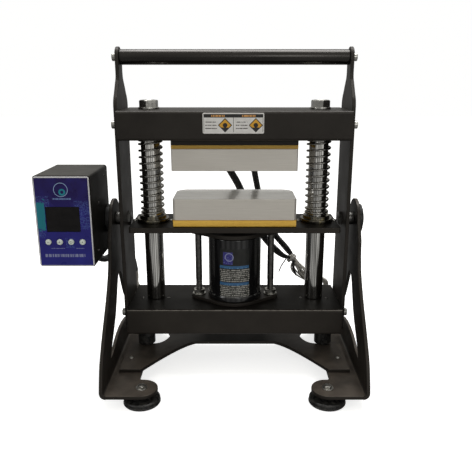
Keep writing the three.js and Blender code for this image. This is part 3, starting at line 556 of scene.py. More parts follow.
def make_panel_film():
    """The printed front: indigo with a pale rim, a teal splash, a plain ring mark and rows of dashes."""
    panel, glass = Box("controller_panel"), Box("controller_display")
    half, tall = panel.half, (panel.z1 - panel.z0) / 2
    shader = Shader("panel_film", (0.016, 0.014, 0.14), 0.3)
    shader.set("Specular IOR Level", 0.3)
    u, v = shader.coordinates(panel.x, panel.z)
    drift = shader.noise(30, detail=3)
    height = shader.math("MULTIPLY_ADD", v, 0.5 / tall, 0.5)
    low, middle, top = (0.02, 0.021, 0.2), (0.02, 0.016, 0.17), (0.015, 0.006, 0.05)
    shader.colour(shader.ramp(height, (0.0, low), (0.45, middle), (1.0, top)))
    shader.paint(shader.ramp(drift, (0.4, 0.0), (0.75, 0.35)), (0.03, 0.034, 0.36))

    hairs = shader.within(shader.noise(4.2, detail=4, rough=0.7), 0.485, 0.515)
    for area in ((15, 36, -10, 30), (-36, -18, 16, 36), (-36, -26, -22, -4), (0, 12, -36, -22)):
        shader.paint(shader.times(hairs, shader.rectangle(*area)), (0.12, 0.2, 0.5), 0.7)

    ragged = shader.times(shader.minus(shader.noise(7, detail=6, rough=0.6), 0.5), 26.0)
    rough_uv = (shader.math("ADD", u, shader.times(ragged, 0.15)), shader.math("ADD", v, ragged))
    blot = (1.5 - half, glass.x0 - panel.x - 1, glass.z0 - panel.z + 2.5, glass.z1 - panel.z + 7)
    shader.paint(shader.rectangle(*blot, uv=rough_uv), (0.014, 0.2, 0.25))

    mark = (tall + glass.z1 - panel.z) / 2 + 3
    shader.paint(shader.ring(-1, mark, 8.8, 9.6), (0.32, 0.46, 0.66))
    shader.paint(shader.ring(0.6, mark - 3.2, 2.2, 4.6), (0.02, 0.24, 0.3))
    shader.paint(shader.rows((-13, 12, mark - 13.4, mark - 10.8), 2.7, 0.8, 0.8, 0.45), (0.16, 0.24, 0.46))

    button = Box("button_1").z - panel.z
    for u0, u1 in ((-20, -2), (14, 25)):
        caption = (u0, u1, button - 9.6, button - 8.4)
        shader.paint(shader.rows(caption, 1.3, 0.8, 0.7, 0.45), (0.2, 0.22, 0.42))
    foot = (-30, 26, button - 21.5, button - 17)
    shader.paint(shader.rows(foot, 4.6, 0.93, 1.6, 0.49), (0.26, 0.28, 0.44))

    rim = 1.5
    inside = shader.rectangle(rim - half, half - rim, rim - tall, tall - rim)
    shader.colour(shader.mix(inside, (0.7, 0.69, 0.7), shader.coat))
    shader.roughness(shader.ramp(drift, (0.3, 0.24), (0.7, 0.36)))
    shader.bump(shader.noise(1.6), 0.01)


def make_plate_label(x, z, half, tall):
    """The label on the top beam: a header, and two halves with rows of dashes and an amber diamond each."""
    shader = Shader("plate_label", (0.62, 0.61, 0.58), 0.45)
    shader.coordinates(x, z)
    grime = shader.noise(8, detail=4)
    shader.colour(shader.ramp(grime, (0.3, (0.74, 0.72, 0.68)), (0.7, (0.9, 0.88, 0.84))))
    ink = (0.02, 0.018, 0.016)
    shader.paint(shader.rectangle(-half + 1.4, half - 1.4, tall - 6.2, tall - 1.6), ink)
    for u0, u1 in ((-0.3, 0.3), (-half + 1.4, -half + 1.9), (half - 1.9, half - 1.4)):
        shader.paint(shader.rectangle(u0, u1, 2 - tall, tall - 6), ink)
    for middle in (-half / 2, half / 2):
        title = (middle - 9, middle + 9, tall - 5.2, tall - 2.6)
        shader.paint(shader.rows(title, 2.7, 0.9, 1.3, 0.44), (0.75, 0.36, 0.1))
        text = (middle - 17.5, middle - 1.5, -7.5, 4.5)
        shader.paint(shader.rows(text, 4.2, 0.3, 1.2, 0.42), (0.1, 0.09, 0.08))
        spot = (middle + 9.5, -2.6)
        inner = shader.diamond(*spot, 8.1)
        shader.paint(shader.diamond(*spot, 9.6), ink)
        shader.paint(inner, (0.78, 0.4, 0.03))
        shader.paint(shader.times(inner, shader.math("LESS_THAN", shader.uv[1], -5.6)), ink)
        shader.paint(shader.ring(*spot, -1, 3.1), ink)
    shader.bump(shader.noise(1.4), 0.02)


def make_cylinder_label(u0, u1, v0, v1):
    """The label wrapped on the cylinder: black, with a blue square, two blue bands and rows of dashes."""
    shader = Shader("cylinder_label", (0.012, 0.012, 0.012), 0.3)
    shader.coordinates(0, 0)
    tall = v1 - v0
    shader.colour(shader.ramp(shader.noise(12), (0.3, (0.009, 0.01, 0.009)), (0.7, (0.018, 0.019, 0.016))))
    square = (u0 + 6, u0 + 20, v1 - 0.31 * tall, v1 - 0.06 * tall)
    inside = shader.rectangle(*square)
    shader.paint(inside, (0.03, 0.026, 0.2))
    centre = ((square[0] + square[1]) / 2 + 2, (square[2] + square[3]) / 2 + 2)
    shader.paint(shader.ring(*centre, 5.2, 6.4), (0.3, 0.32, 0.5))
    flecks = shader.math("GREATER_THAN", shader.noise(1.6, detail=4), 0.56)
    shader.paint(shader.times(flecks, inside), (0.22, 0.24, 0.5), 0.5)
    for top in (0.335, 0.68):
        band = (u0 + 1, u1 - 2, v1 - (top + 0.055) * tall, v1 - top * tall)
        shader.paint(shader.rectangle(*band), (0.035, 0.12, 0.26))
        shader.paint(shader.rows(band, 4.0, 0.4, 3.0, 0.52), (0.16, 0.38, 0.6), 0.5)
    for top, low in ((0.4, 0.66), (0.745, 0.99)):
        text = (u0 + 1, u1 - 0.5, v1 - low * tall, v1 - top * tall)
        shader.paint(shader.rows(text, 2.9, 0.52, 1.1, 0.46), (0.42, 0.41, 0.37))
    shader.bump(shader.noise(3), 0.02)


# ------------------------------------------------------------------ mesh tools: each gives (points, faces)
def circle(radius, z, sides, turn=0.0):
    """A ring of points about Z; radius is a number or one for each point. Radius 0 gives a single point."""
    if radius == 0:
        return [Vector((0, 0, z))]
    radii = radius if isinstance(radius, list) else [radius] * sides
    angles = [2 * math.pi * i / sides + turn for i in range(sides)]
    return [Vector((r * math.cos(a), r * math.sin(a), z)) for r, a in zip(radii, angles)]


def bridge(lower, upper):
    """Faces between two rings of points, either of which may be a single point."""
    if len(lower) == 1 and len(upper) == 1:
        return []
    count = max(len(lower), len(upper))
    faces = []
    for i in range(count):
        corners = [lower[k % len(lower)] for k in (i, (i + 1) % count)]
        corners += [upper[k % len(upper)] for k in ((i + 1) % count, i)]
        faces.append(tuple(dict.fromkeys(corners)))
    return faces


def skin(rings, ends="open"):
    """Faces over a stack of rings, whose ends are open, closed by flat faces, or joined to each other."""
    points, faces, spans = [], [], []
    for ring in rings:
        spans.append(list(range(len(points), len(points) + len(ring))))
        points += ring
    for lower, upper in zip(spans, spans[1:]):
        faces += bridge(lower, upper)
    if ends == "joined":
        faces += bridge(spans[-1], spans[0])
    elif ends == "flat":
        caps = (tuple(reversed(spans[0])), tuple(spans[-1]))
        faces += [cap for cap in caps if len(cap) > 1]
    return points, faces


def lathe(profile, sides=64):
    """Turned about Z from (radius, z) pairs; a pair at radius 0 closes the end."""
    return skin([circle(radius, z, sides) for radius, z in profile])


def rounded(profile, corner, steps=3):
    """Rounds the inner corners of an open (radius, z) profile."""
    out = [profile[0]]
    for before, here, after in zip(profile, profile[1:], profile[2:]):
        a, b, c = Vector(before), Vector(here), Vector(after)
        reach = min(corner, (a - b).length / 2, (c - b).length / 2)
        start, end = b + (a - b).normalized() * reach, b + (c - b).normalized() * reach
        for i in range(steps + 1):
            t = i / steps
            out.append(tuple((1 - t) ** 2 * start + 2 * t * (1 - t) * b + t * t * end))
    return out + [profile[-1]]


def sleeve(bore, radius, z0, z1, corner=0.3, sides=48):
    """A turned ring with a square section and rounded corners."""
    section = [(bore, z0), (radius, z0), (radius, z1), (bore, z1), (bore, z0)]
    return lathe(rounded(section, corner), sides)


def hex_outline(flats, steps=10):
    """Radius of a hexagon at evenly spaced angles, steps to a side."""
    angles = [(i % steps) / steps * math.pi / 3 - math.pi / 6 for i in range(6 * steps)]
    return [flats / 2 / math.cos(angle) for angle in angles]


def hex_prism(flats, z0, z1, chamfer_low=False, hole=0.0, turn=0.0):
    """A hexagon head or nut, its top chamfered and its foot too if asked; hole is a nut's bore."""
    radii = hex_outline(flats)
    sides = len(radii)
    cone = flats / 2 * 0.985              # where the chamfer starts, just inside the flats
    drops = [max(0.0, radius - cone) * math.tan(math.radians(30)) for radius in radii]
    cut = [min(radius, cone) for radius in radii]

    def ring(radius, z, slope=0):
        spots = circle(radius, z, sides, math.pi / 6 + turn)
        whole = radius is radii
        return [Vector((p.x, p.y, p.z + slope * drop * whole)) for p, drop in zip(spots, drops)]

    rings = [ring(cut, z0), ring(radii, z0, 1 if chamfer_low else 0), ring(radii, z1, -1), ring(cut, z1)]
    if hole:
        bore = ((hole + 0.5, z1), (hole, z1 - 0.6), (hole, z0 + 0.6), (hole + 0.5, z0))
        rings += [ring(radius, z) for radius, z in bore]
    return skin(rings, "joined" if hole else "flat")


def thread(radius, z0, z1, pitch):
    """A threaded rod with a true helix: the radius follows height and angle."""
    sides, per_pitch, depth = 32, 6, 0.55 * pitch
    levels = max(2, int((z1 - z0) / pitch * per_pitch))
    rings = [circle(0, z0, 1)]
    for level in range(levels + 1):
        z = z0 + (z1 - z0) * level / levels
        fade = min(1.0, (z - z0) / pitch + 0.15, (z1 - z) / pitch + 0.15)
        flanks = [abs(2 * ((z / pitch - i / sides) % 1.0) - 1) for i in range(sides)]
        worn = 0.9 if fade < 1 else 1
        rings.append(circle([radius - depth * (1 - flank * fade) * worn for flank in flanks], z, sides))
    return skin(rings + [circle(0, z1, 1)])


def plate_of(outline, z0, z1, edge):
    """A flat plate from an outline of (x, y) points about the middle, with its two rims broken by edge."""
    count = len(outline)

    def ring(inset, z):
        out = []
        for i in range(count):
            before, here, after = (Vector(outline[(i + k) % count]) for k in (-1, 0, 1))
            along = (after - before).normalized()
            out.append(Vector((here.x - along.y * inset, here.y + along.x * inset, z)))
        return out

    return skin([ring(edge, z0), ring(0, z0 + edge), ring(0, z1 - edge), ring(edge, z1)], "flat")


def rounded_outline(half_x, half_y, corner, steps=6):
    out = []
    for cx, cy, start in ((1, 1, 0), (-1, 1, 90), (-1, -1, 180), (1, -1, 270)):
        for i in range(steps + 1):
            angle = math.radians(start + 90 * i / steps)
            out.append((cx * (half_x - corner) + corner * math.cos(angle),
                        cy * (half_y - corner) + corner * math.sin(angle)))
    return out


def smooth_path(points, step):
    """Centripetal Catmull-Rom through the points, with a point about every step millimetres."""
    line = [Vector(p) for p in points]
    line = [2 * line[0] - line[1]] + line + [2 * line[-1] - line[-2]]

    def between(a, b, ta, tb, t):
        return a * ((tb - t) / (tb - ta)) + b * ((t - ta) / (tb - ta))

    out = []
    for p0, p1, p2, p3 in zip(line, line[1:], line[2:], line[3:]):
        t0 = 0.0
        t1 = t0 + math.sqrt((p1 - p0).length)
        t2 = t1 + math.sqrt((p2 - p1).length)
        t3 = t2 + math.sqrt((p3 - p2).length)
        count = max(2, round((p2 - p1).length / step))
        for i in range(count):
            t = t1 + (t2 - t1) * i / count
            a = between(p0, p1, t0, t1, t), between(p1, p2, t1, t2, t), between(p2, p3, t2, t3, t)
            out.append(between(between(a[0], a[1], t0, t2, t), between(a[1], a[2], t1, t3, t), t1, t2, t))
    return out + [line[-2]]


def walk(path, normal):
    """Goes along a path and gives each spot, the way travelled, and a normal and a side that don't twist."""
    travelled = 0.0
    normal = Vector(normal)
    for k, spot in enumerate(path):
        tangent = (path[min(k + 1, len(path) - 1)] - path[max(k - 1, 0)]).normalized()
        normal = (normal - tangent * normal.dot(tangent)).normalized()
        if k:
            travelled += (spot - path[k - 1]).length
        yield spot, travelled, normal, tangent.cross(normal)


def tube(path, radius, sides=16, flat=1.0, up=None):
    """A tube with flat ends. radius is a number or a function of the share of the way, and flat squeezes it.
    The third value holds each point's place along, in millimetres, and around, from 0 to 1."""
    start = (path[1] - path[0]).normalized()
    up = up or ((0, 1, 0) if abs(start.y) < 0.8 else (0, 0, 1))
    rings, marks = [], {"along": [], "around": []}
    for k, (spot, travelled, normal, side) in enumerate(walk(path, up)):
        size = radius(k / (len(path) - 1)) if callable(radius) else radius
        angles = [2 * math.pi * i / sides for i in range(sides)]
        rings.append([spot + size * (math.cos(a) * flat * normal + math.sin(a) * side) for a in angles])
        marks["along"] += [travelled] * sides
        marks["around"] += [i / sides for i in range(sides)]
    return (*skin(rings, "flat"), marks)


def moved(shape, offset=(0, 0, 0), turn=Matrix.Identity(4)):
    matrix = Matrix.Translation(offset) @ turn
    return ([matrix @ p for p in shape[0]], *shape[1:])


def joined(*shapes):
    points, faces, marks = [], [], {}
    for shape in shapes:
        start = len(points)
        points += shape[0]
        faces += [tuple(i + start for i in face) for face in shape[1]]
        for key, values in (shape[2] if len(shape) > 2 else {}).items():
            marks.setdefault(key, []).extend(values)
    return points, faces, marks


FACING_FRONT = Matrix.Rotation(math.pi / 2, 4, "X")      # turns a piece made along +Z to face -Y
FACING_REAR = Matrix.Rotation(-math.pi / 2, 4, "X")
UPSIDE_DOWN = Matrix.Rotation(math.pi, 4, "X")


def facing_side(sign):
    return Matrix.Rotation(sign * math.pi / 2, 4, "Y")


# ------------------------------------------------------------------ pieces
SHARP = math.radians(38)


def add_piece(name, shape, look, body, replaces=()):
    """A piece with one look."""
    mesh = bpy.data.meshes.new(name)
    mesh.from_pydata([to_frame(p) for p in shape[0]], [], shape[1])
    mesh.materials.append(LOOKS[look])
    for key, values in (shape[2] if len(shape) > 2 else {}).items():
        mesh.attributes.new(key, "FLOAT", "POINT").data.foreach_set("value", values)
    mesh.shade_smooth()
    mesh.set_sharp_from_angle(angle=SHARP)
    obj = place_in_scene(name, mesh)
    if body:
        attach(obj, body)
    if replaces:
        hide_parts(*replaces)
    return obj


def remake(node, how, shape, look, body):
    """A piece that takes the place of one CAD node, and is named after it and how it is made."""
    return add_piece(f"{node}_{how}", shape, look, body, [node])


def dress_node(node, look, edge):
    """A CAD node keeps its shape, with its sharp edges broken by edge millimetres."""
    obj = NODES[node]
    obj.data.materials.clear()
    obj.data.materials.append(LOOKS[look])
    obj.data.shade_smooth()
    if "custom_normal" in obj.data.attributes:
        obj.data.attributes.remove(obj.data.attributes["custom_normal"])
    weld = obj.modifiers.new("weld", "WELD")
    weld.merge_threshold = 1e-6
    clean = obj.modifiers.new("clean", "DECIMATE")
    clean.decimate_type = "DISSOLVE"
    clean.angle_limit = math.radians(0.4)
    bevel = obj.modifiers.new("edges", "BEVEL")
    bevel.width = edge * MM
    bevel.segments = 2
    bevel.limit_method = "ANGLE"
    bevel.angle_limit = math.radians(35)
    bevel.use_clamp_overlap = False
    bevel.harden_normals = True
    obj.modifiers.new("normals", "WEIGHTED_NORMAL").keep_sharp = False


def dress_nodes():
    """The pieces that are shown as they are in CAD: node, look and edge."""
    for label, _ in SIDES:
        dress_node(f"frame_side_{label}", "frame_paint", 0.7)
        dress_node(f"stand_side_{label}", "stand_paint", 0.8)
    for node, look, edge in (
            ("cross_plate", "stand_paint", 0.6), ("moving_plate", "beam_paint", 0.6),
            ("cylinder_base_flange", "frame_paint", 0.5), ("cylinder_head_flange", "frame_paint", 0.5),
            ("top_beam", "frame_paint", 0.35), ("bottom_beam", "beam_paint", 1.2),
            ("upper_heater", "heater_aluminium", 0.7), ("lower_heater", "heater_aluminium", 0.7),
            ("upper_insulator", "upper_insulation_painted_shade", 0.4), ("lower_insulator", "insulation_board", 0.4),
            ("controller_housing", "box_paint", 0.4), ("controller_back", "box_paint", 0.4),
            ("controller_panel", "panel_film", 0.3), ("controller_display", "display_glass", 0.4),
            ("controller_board", "board_laminate", 0.2), ("power_inlet", "black_plastic", 0.4)):
        dress_node(node, look, edge)


# ------------------------------------------------------------------ handle and screws
def build_handle():
    bar = Box("handle_bar")
    radius = (bar.z1 - bar.z0) / 2
    low, high, bore = bar.x0 + 20, bar.x1 - 20, 3.4
    corners = [(bore, low), (bore, bar.x0), (radius, bar.x0), (radius, bar.x1), (bore, bar.x1), (bore, high),
               (0, high)]
    shape = lathe([(0, low), *rounded(corners, 0.8)], 56)
    remake("handle_bar", "round", moved(shape, (0, 0, bar.z), facing_side(1)), "handle_paint", "frame")
    height = 5.7
    shank = lathe(rounded([(0, -20), (3, -20), (3, 0.1), (0, 0.1)], 0.2), 24)
    for label, sign in SIDES:
        head = Box(f"handle_screw_{label}")
        place = (sign * (head.outer(sign) - height), 0, head.z)
        screw = moved(joined(cap_screw(5.6, height, 2.5), shank), place, facing_side(sign))
        remake(f"handle_screw_{label}", "round", screw, "zinc_fastener", "frame")


def socket_head(profile, height, socket):
    """A turned screw head whose open top is closed by a hexagon socket."""
    sides = 36
    radii = hex_outline(socket * 2 * 0.95, sides // 6)
    rings = [circle(radius, z, sides) for radius, z in profile + [(socket * 1.25, height)]]
    rings += [circle(radii, z, sides) for z in (height - 0.1, height * 0.42)]
    return skin(rings, "flat")


def button_screw(radius, height, socket):
    """A dome-head screw standing on z = 0."""
    angles = [math.radians(15 * i) for i in range(5)]
    dome = [(radius * math.cos(a), height * (0.35 + 0.65 * math.sin(a))) for a in angles]
    return socket_head([(0, 0), (radius, 0)] + dome, height, socket)


def cap_screw(radius, height, socket):
    """A cylinder-head screw standing on z = 0."""
    edge = 0.7
    profile = [(0, 0), (radius, 0), (radius, height - edge), (radius - edge, height)]
    return socket_head(profile, height, socket)


def build_screws():
    """Cap screws through the frame sides into the beams, and the small screws on the beams and plates."""
    bottom, plate, cross = Box("bottom_beam"), Box("moving_plate"), Box("cross_plate")
    beam_heights, beam_reach, foot_reach, bush_reach, arm_x = (bottom.z + 6, 375), 28, 20, 27.5, 157
    for label, sign in SIDES:
        column = Box(f"column_{label}").x
        face = sign * Box(f"frame_side_{label}").outer(sign)
        big, small = cap_screw(5.6, 5.8, 2.5), button_screw(2.3, 1.0, 1.0)
        middling, flat = button_screw(3.1, 2.4, 1.3), button_screw(3.3, 1.8, 1.5)
        beam = [moved(big, (face, y, z), facing_side(sign))
                for z in beam_heights for y in (-beam_reach, beam_reach)]
        foot = [moved(small, (column + dx, -6, bottom.z1)) for dx in (-foot_reach, foot_reach)]
        bush = [moved(middling, (column + dx, 0, plate.z1)) for dx in (-bush_reach, bush_reach)]
        arms = [moved(flat, (sign * arm_x, y, cross.z1)) for y in (-51, 62)]
        add_piece(f"beam_screws_{label}", joined(*beam), "zinc_fastener", "frame")
        add_piece(f"column_foot_screws_{label}", joined(*foot), "dark_steel", "frame")
        add_piece(f"bush_screws_{label}", joined(*bush), "zinc_fastener", "platen")
        add_piece(f"cross_plate_screws_{label}", joined(*arms), "zinc_fastener", "stand")


# ------------------------------------------------------------------ columns, platen and cylinder
def build_columns():
    for label, sign in SIDES:
        post, bolt, seat = Box(f"column_{label}"), Box(f"column_bolt_{label}"), Box("top_beam").z1
        radius = post.half
        centre = (post.x, 0, 0)
        bore, bore_low = 8.3, post.z1 - 30
        corners = [(radius - 0.8, post.z0), (radius, post.z0 + 0.8), (radius, post.z1 - 1),
                   (radius - 1, post.z1), (bore, post.z1), (bore, bore_low), (0, bore_low)]
        shape = lathe([(0, post.z0), *rounded(corners, 0.3, 2)], 96)
        remake(f"column_{label}", "ground", moved(shape, centre), "column_chrome", "frame")

        top = seat + 2.7
        hole, rim, under = 8.4, 15, seat + 0.1
        washer = lathe(rounded([(hole, under), (rim, under), (rim, top), (hole, top)], 0.4), 64)
        head = hex_prism(24, top, bolt.z1, turn=0.12 * sign)
        dish = lathe([(0, bolt.z1 - 0.5), (9.5, bolt.z1 - 0.5), (9.5, bolt.z1), (9.0, bolt.z1 + 0.3),
                      (8.6, bolt.z1 + 0.02), (0, bolt.z1 + 0.02)], 48)
        shape = joined(washer, head, dish, thread(8, bolt.z0, top, 2.0))
        remake(f"column_bolt_{label}", "turned", moved(shape, centre), "zinc_fastener", "frame")
        build_bush(label, centre)
        build_spring(label, centre)


def build_rest_buffers():
    """The rubber buffers under the bottom beam, on which the upright frame rests on the cross plate."""
    low, high, out_at = Box("cross_plate").z1 + 0.8, Box("bottom_beam").z0 - 0.1, 141
    side = rounded([(11, low), (13.4, low + 1.5), (13.4, high - 1), (12.8, high)], 0.6)
    shape = lathe([(0, low), *side, (0, high)], 56)
    for label, sign in SIDES:
        add_piece(f"rest_buffer_{label}", moved(shape, (sign * out_at, 0, 0)), "foot_rubber", "frame")


def build_bush(label, centre):
    bush, plate = Box(f"guide_bush_{label}"), Box("moving_plate")
    bore, body, ring, flange = 14.3, 16.7, 20, plate.z1 + 5.3
    profile = [(bore, plate.z0), (body, plate.z0), (body, plate.z1), (bush.half, plate.z1),
               (bush.half, flange), (ring, flange), (ring, bush.z1 - 0.8), (ring - 0.8, bush.z1),
               (bore + 0.6, bush.z1), (bore, bush.z1 - 0.6), (bore, plate.z0)]
    shape = moved(lathe(rounded(profile, 0.5), 80), centre)
    remake(f"guide_bush_{label}", "turned", shape, "bush_brass", "platen")


def build_spring(label, centre):
    """A coil with closed ends: the pitch shrinks over the first and last turn."""
    box, turns, wire = Box(f"return_spring_{label}"), 13, 1.6
    low, high = box.z0 + wire, box.z1 - wire
    radius = box.half - wire - 0.05
    end_turns, steps, lift = 1.1, 40, 2.05 * wire
    path = []
    for i in range(turns * steps + 1):
        turn = i / steps
        closed = min(turn, end_turns) + max(0.0, turn - (turns - end_turns))
        share = (turn - closed) / (turns - 2 * end_turns)
        z = low + closed * lift + share * (high - low - 2 * end_turns * lift)
        angle = 2 * math.pi * turn
        path.append(Vector((radius * math.cos(angle), radius * math.sin(angle), z)))
    coil = moved(tube(path, wire, 14, up=(0, 0, 1)), centre)
    obj = remake(f"return_spring_{label}", "coil", coil, "spring_steel", "frame")
    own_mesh(obj)


def build_ram():
    ram = Box("ram")
    corners = [(ram.half - 1, ram.z0), (ram.half, ram.z0 + 1), (ram.half, ram.z1), (0, ram.z1)]
    remake("ram", "ground", lathe([(0, ram.z0), *rounded(corners, 0.4)], 80), "column_chrome", "platen")


def build_cylinder(u0, u1, v0, v1):
    """The barrel, and its label from u0 to u1 round the front and from v0 to v1 in height."""
    box = Box("cylinder_barrel")
    collar, bore = box.half, 17.3
    radius = collar - 1.5
    corners = [(radius, box.z0), (collar, box.z0 + 1), (collar, box.z0 + 7), (radius, box.z0 + 9),
               (radius, box.z1 - 2), (radius - 2, box.z1), (bore + 1, box.z1), (bore, box.z1 - 1),
               (bore, box.z0 + 16), (0, box.z0 + 16)]
    shape = lathe([(0, box.z0), *rounded(corners, 0.7)], 128)
    remake("cylinder_barrel", "turned", shape, "cylinder_enamel", "frame")

    columns, levels, proud, sunk = 24, 10, 0.12, 0.3
    bends = [(u0 + (u1 - u0) * i / columns) / radius for i in range(columns + 1)]
    line = [(radius + proud, bend) for bend in bends] + [(radius - sunk, bend) for bend in reversed(bends)]
    heights = [v0 + (v1 - v0) * j / levels for j in range(levels + 1)]
    rings = [[Vector((reach * math.sin(bend), -reach * math.cos(bend), z)) for reach, bend in line]
             for z in heights]
    add_piece("cylinder_label", skin(rings, "flat"), "cylinder_label", "frame")


def build_tie_rods():
    for label, _ in SIDES:
        rod, nut = Box(f"tie_rod_{label}"), Box(f"tie_rod_nut_{label}")
        centre = (rod.x, 0, 0)
        radius, head = 5.0, rod.half
        stem_top = rod.z1 - 3.6
        profile = [(0, nut.z1 + 16), (radius, nut.z1 + 16), (radius, stem_top), (head, stem_top),
                   (head, rod.z1 - 0.6), (head - 0.8, rod.z1), (0, rod.z1)]
        shape = joined(lathe(rounded(profile, 0.3), 40), thread(radius, rod.z0, nut.z1 + 17, 1.5))
        remake(f"tie_rod_{label}", "turned", moved(shape, centre), "dark_steel", "frame")
        washer, split = sleeve(5.3, 10, nut.z0, nut.z0 + 1.5), sleeve(5.3, 8.2, nut.z0 + 1.6, nut.z0 + 3.2)
        body = hex_prism(16, nut.z0 + 3.3, nut.z1, True, hole=5.1, turn=0.2)
        shape = moved(joined(washer, split, body), centre)
        remake(f"tie_rod_nut_{label}", "cut", shape, "zinc_fastener", "frame")


def build_coupler():
    corners = [(6, 24), (6, 43), (10, 43), (10, 50), (7.5, 51), (7.5, 60), (8.5, 61), (8.5, 66), (7.5, 67),
               (4, 67), (4, 54)]
    body = lathe([(0, 24), *rounded(corners, 0.4), (0, 54)], 60)
    place = (0, 0, Box("hydraulic_coupler").z)
    remake("hydraulic_coupler", "turned", moved(body, place, FACING_REAR), "zinc_fastener", "frame")


# ------------------------------------------------------------------ leads and harness
TIE_CENTRE = Vector((97, 76, 146))
TIE_RUN = Vector((6, 0, -8)).normalized()
REAR = 38             # the rear faces of the heated plates
SOCKET = 10           # depth of the holes that the leads start in

# Each lead: where it leaves its plate, its way to the tie, its place in the tie, its radius, how flat it is
# pressed, and its body, which is None for the one that stretches from the platen to the tie.
LEADS = {
    "upper_lead": ((-24, 330), [(-20, 58, 321), (-8, 66, 297), (6, 68, 272), (17, 70, 245), (30, 72, 215),
                                (48, 74, 184), (67, 75, 162), (81, 73, 151)],
                   (-2.4, -2.2, -1.8), 6.3, 0.6, "frame"),
    "sensor_lead": ((27, 330), [(28, 58, 320), (32, 70, 292), (38, 79, 262), (45, 82, 232), (54, 82, 208),
                                (65, 82, 188), (79, 81, 171), (89, 80, 161)],
                    (2.2, 0.6, 1.7), 4.9, 0.8, "frame"),
    "lower_lead": ((60, 256), [(62, 60, 250), (63, 78, 229), (62, 93, 207), (67, 95, 186), (79, 94, 168),
                               (88, 92, 157)],
                   (0.4, 3.4, 0.2), 4.4, 0.9, None),
}


def build_leads():
    """Braided sleeves: each runs into the tie, where it is pressed, and starts in a ferrule on its plate."""
    collar = lathe(rounded([(4.7, 0), (6.6, 0), (6.6, 3.2), (5.2, 4.4), (4.7, 4.4), (4.7, 0)], 0.5), 40)
    for name, ((x, z), middle, in_tie, wide, flat, body) in LEADS.items():
        start = [(x, REAR - SOCKET + 1, z), (x, REAR, z), (x, REAR + 8, z)]
        path = smooth_path(start + middle + [TIE_CENTRE + Vector(in_tie) - 3 * TIE_RUN], 2.2)

        def girth(share, wide=wide):
            leaving = min(1.0, 0.72 + share * 9)
            pinch = max(0.0, (share - 0.9) / 0.1)
            wobble = 0.16 * noise.noise(Vector((share * 17, wide, 0)))
            return (wide + wobble) * leaving * (1 - 0.5 * pinch)

        obj = remake(name, "sleeve", tube(path, girth, 24, flat), "lead_braid", body)
        if body is None:
            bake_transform(obj)
        ferrule = moved(collar, (x, REAR, z), FACING_REAR)
        add_piece(f"{name}_ferrule", ferrule, "zinc_fastener", body or "platen")


def build_tie():
    lean = TIE_RUN.to_track_quat("Z", "Y").to_matrix().to_4x4()
    head = moved(plate_of(rounded_outline(2.8, 2.2, 0.6), -2.8, 2.8, 0.5), (0, -7.8, 0))
    shape = moved(joined(sleeve(6.4, 7.4, -2, 2), head), TIE_CENTRE, lean)
    remake("cable_tie", "band", shape, "tie_nylon", "frame")


def harness_route(gland):
    """From the tie down behind the right column, back along the bottom beam, and up to the box's gland."""
    return [TIE_CENTRE - 6 * TIE_RUN, TIE_CENTRE, TIE_CENTRE + 9 * TIE_RUN, (110, 76, 129), (120, 78, 115),
            (132, 81, 108), (147, 84, 106), (157, 87, 98), (155, 90, 86), (140, 91, 79), (118, 91, 78),
            (92, 91, 78), (40, 91, 78), (-40, 90, 78), (-120, 90, 78), (-155, 90, 79), *home_run(gland)]


def home_run(gland):
    """The end of the harness: up behind the stand, a loop under the control box, and into its gland."""
    return [(-170, 91, 92), (-172, 91, 118), (-177, 89, 142), (-190, 81, 154), (-203, 67, 154),
            (-215, 55, 151), (-227, 48, 160), (gland, 47, 184), (gland, 42, 200), (gland, 34, 206),
            (gland, 24, 206), (gland, 10, 206)]


def bundle(path, count, wire, spread, swell, swell_at):
    """Wires wound loosely round a path, spread millimetres from it, and swollen by swell around one place.
    The last one runs in the middle."""
    wires = []
    for k in range(count):
        strand = []
        for spot, travelled, normal, side in walk(path, (0, 1, 0)):
            wave = noise.noise(Vector((travelled / 17, k * 5.1, 0)))
            fan = math.exp(-((travelled - swell_at) / 16) ** 2)
            reach = wave if k == count - 1 else spread + swell * fan + (0.7 + 2.2 * fan) * wave
            angle = 2 * math.pi * k / (count - 1) + travelled / 46
            strand.append(spot + reach * (math.sin(angle) * side + 0.75 * math.cos(angle) * normal))
        wires.append(tube(strand, wire, 8))
    return joined(*wires)


def build_harness():
    """Glass-fibre wires that leave the sleeves at the tie, fan out, and run together to the control box."""
    gland = Box("controller_back").x
    wires = bundle(smooth_path(harness_route(gland), 3.0), 9, 1.5, 3.1, 2.4, 38)
    obj = add_piece("harness_wires", wires, "harness_wire", None, ["harness_frame", "harness_box"])
    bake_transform(obj)
    slack = (
        [(101, 73, 140), (98, 71, 131), (101, 69, 122), (110, 70, 114), (122, 74, 107), (134, 79, 104)],
        [(99, 75, 141), (95, 72, 133), (97, 70, 125), (106, 71, 116), (118, 74, 109), (130, 78, 105)],
        [(104, 72, 138), (106, 70, 128), (113, 71, 118), (124, 75, 110), (137, 80, 106)],
        [(102, 77, 141), (100, 74, 130), (106, 73, 121), (116, 75, 112), (130, 80, 106)])
    loops = [tube(smooth_path(points, 1.5), 1.35, 8) for points in slack]
    add_piece("harness_slack", joined(*loops), "harness_wire", "frame")
    cut_ends = (([(90, 72, 152), (84, 70, 143), (78, 68, 134), (74, 67, 124)], 1.0),
                ([(99, 71, 143), (98, 69, 133), (100, 69, 125), (104, 70, 117)], 1.9))
    tails = [tube(smooth_path(points, 1.5), wide, 8) for points, wide in cut_ends]
    add_piece("harness_cut_ends", joined(*tails), "lead_braid", "frame")
    cover = tube(smooth_path(home_run(gland)[1:-1], 2.5), 5.4, 20)
    add_piece("harness_sleeve", cover, "lead_braid", "stand")


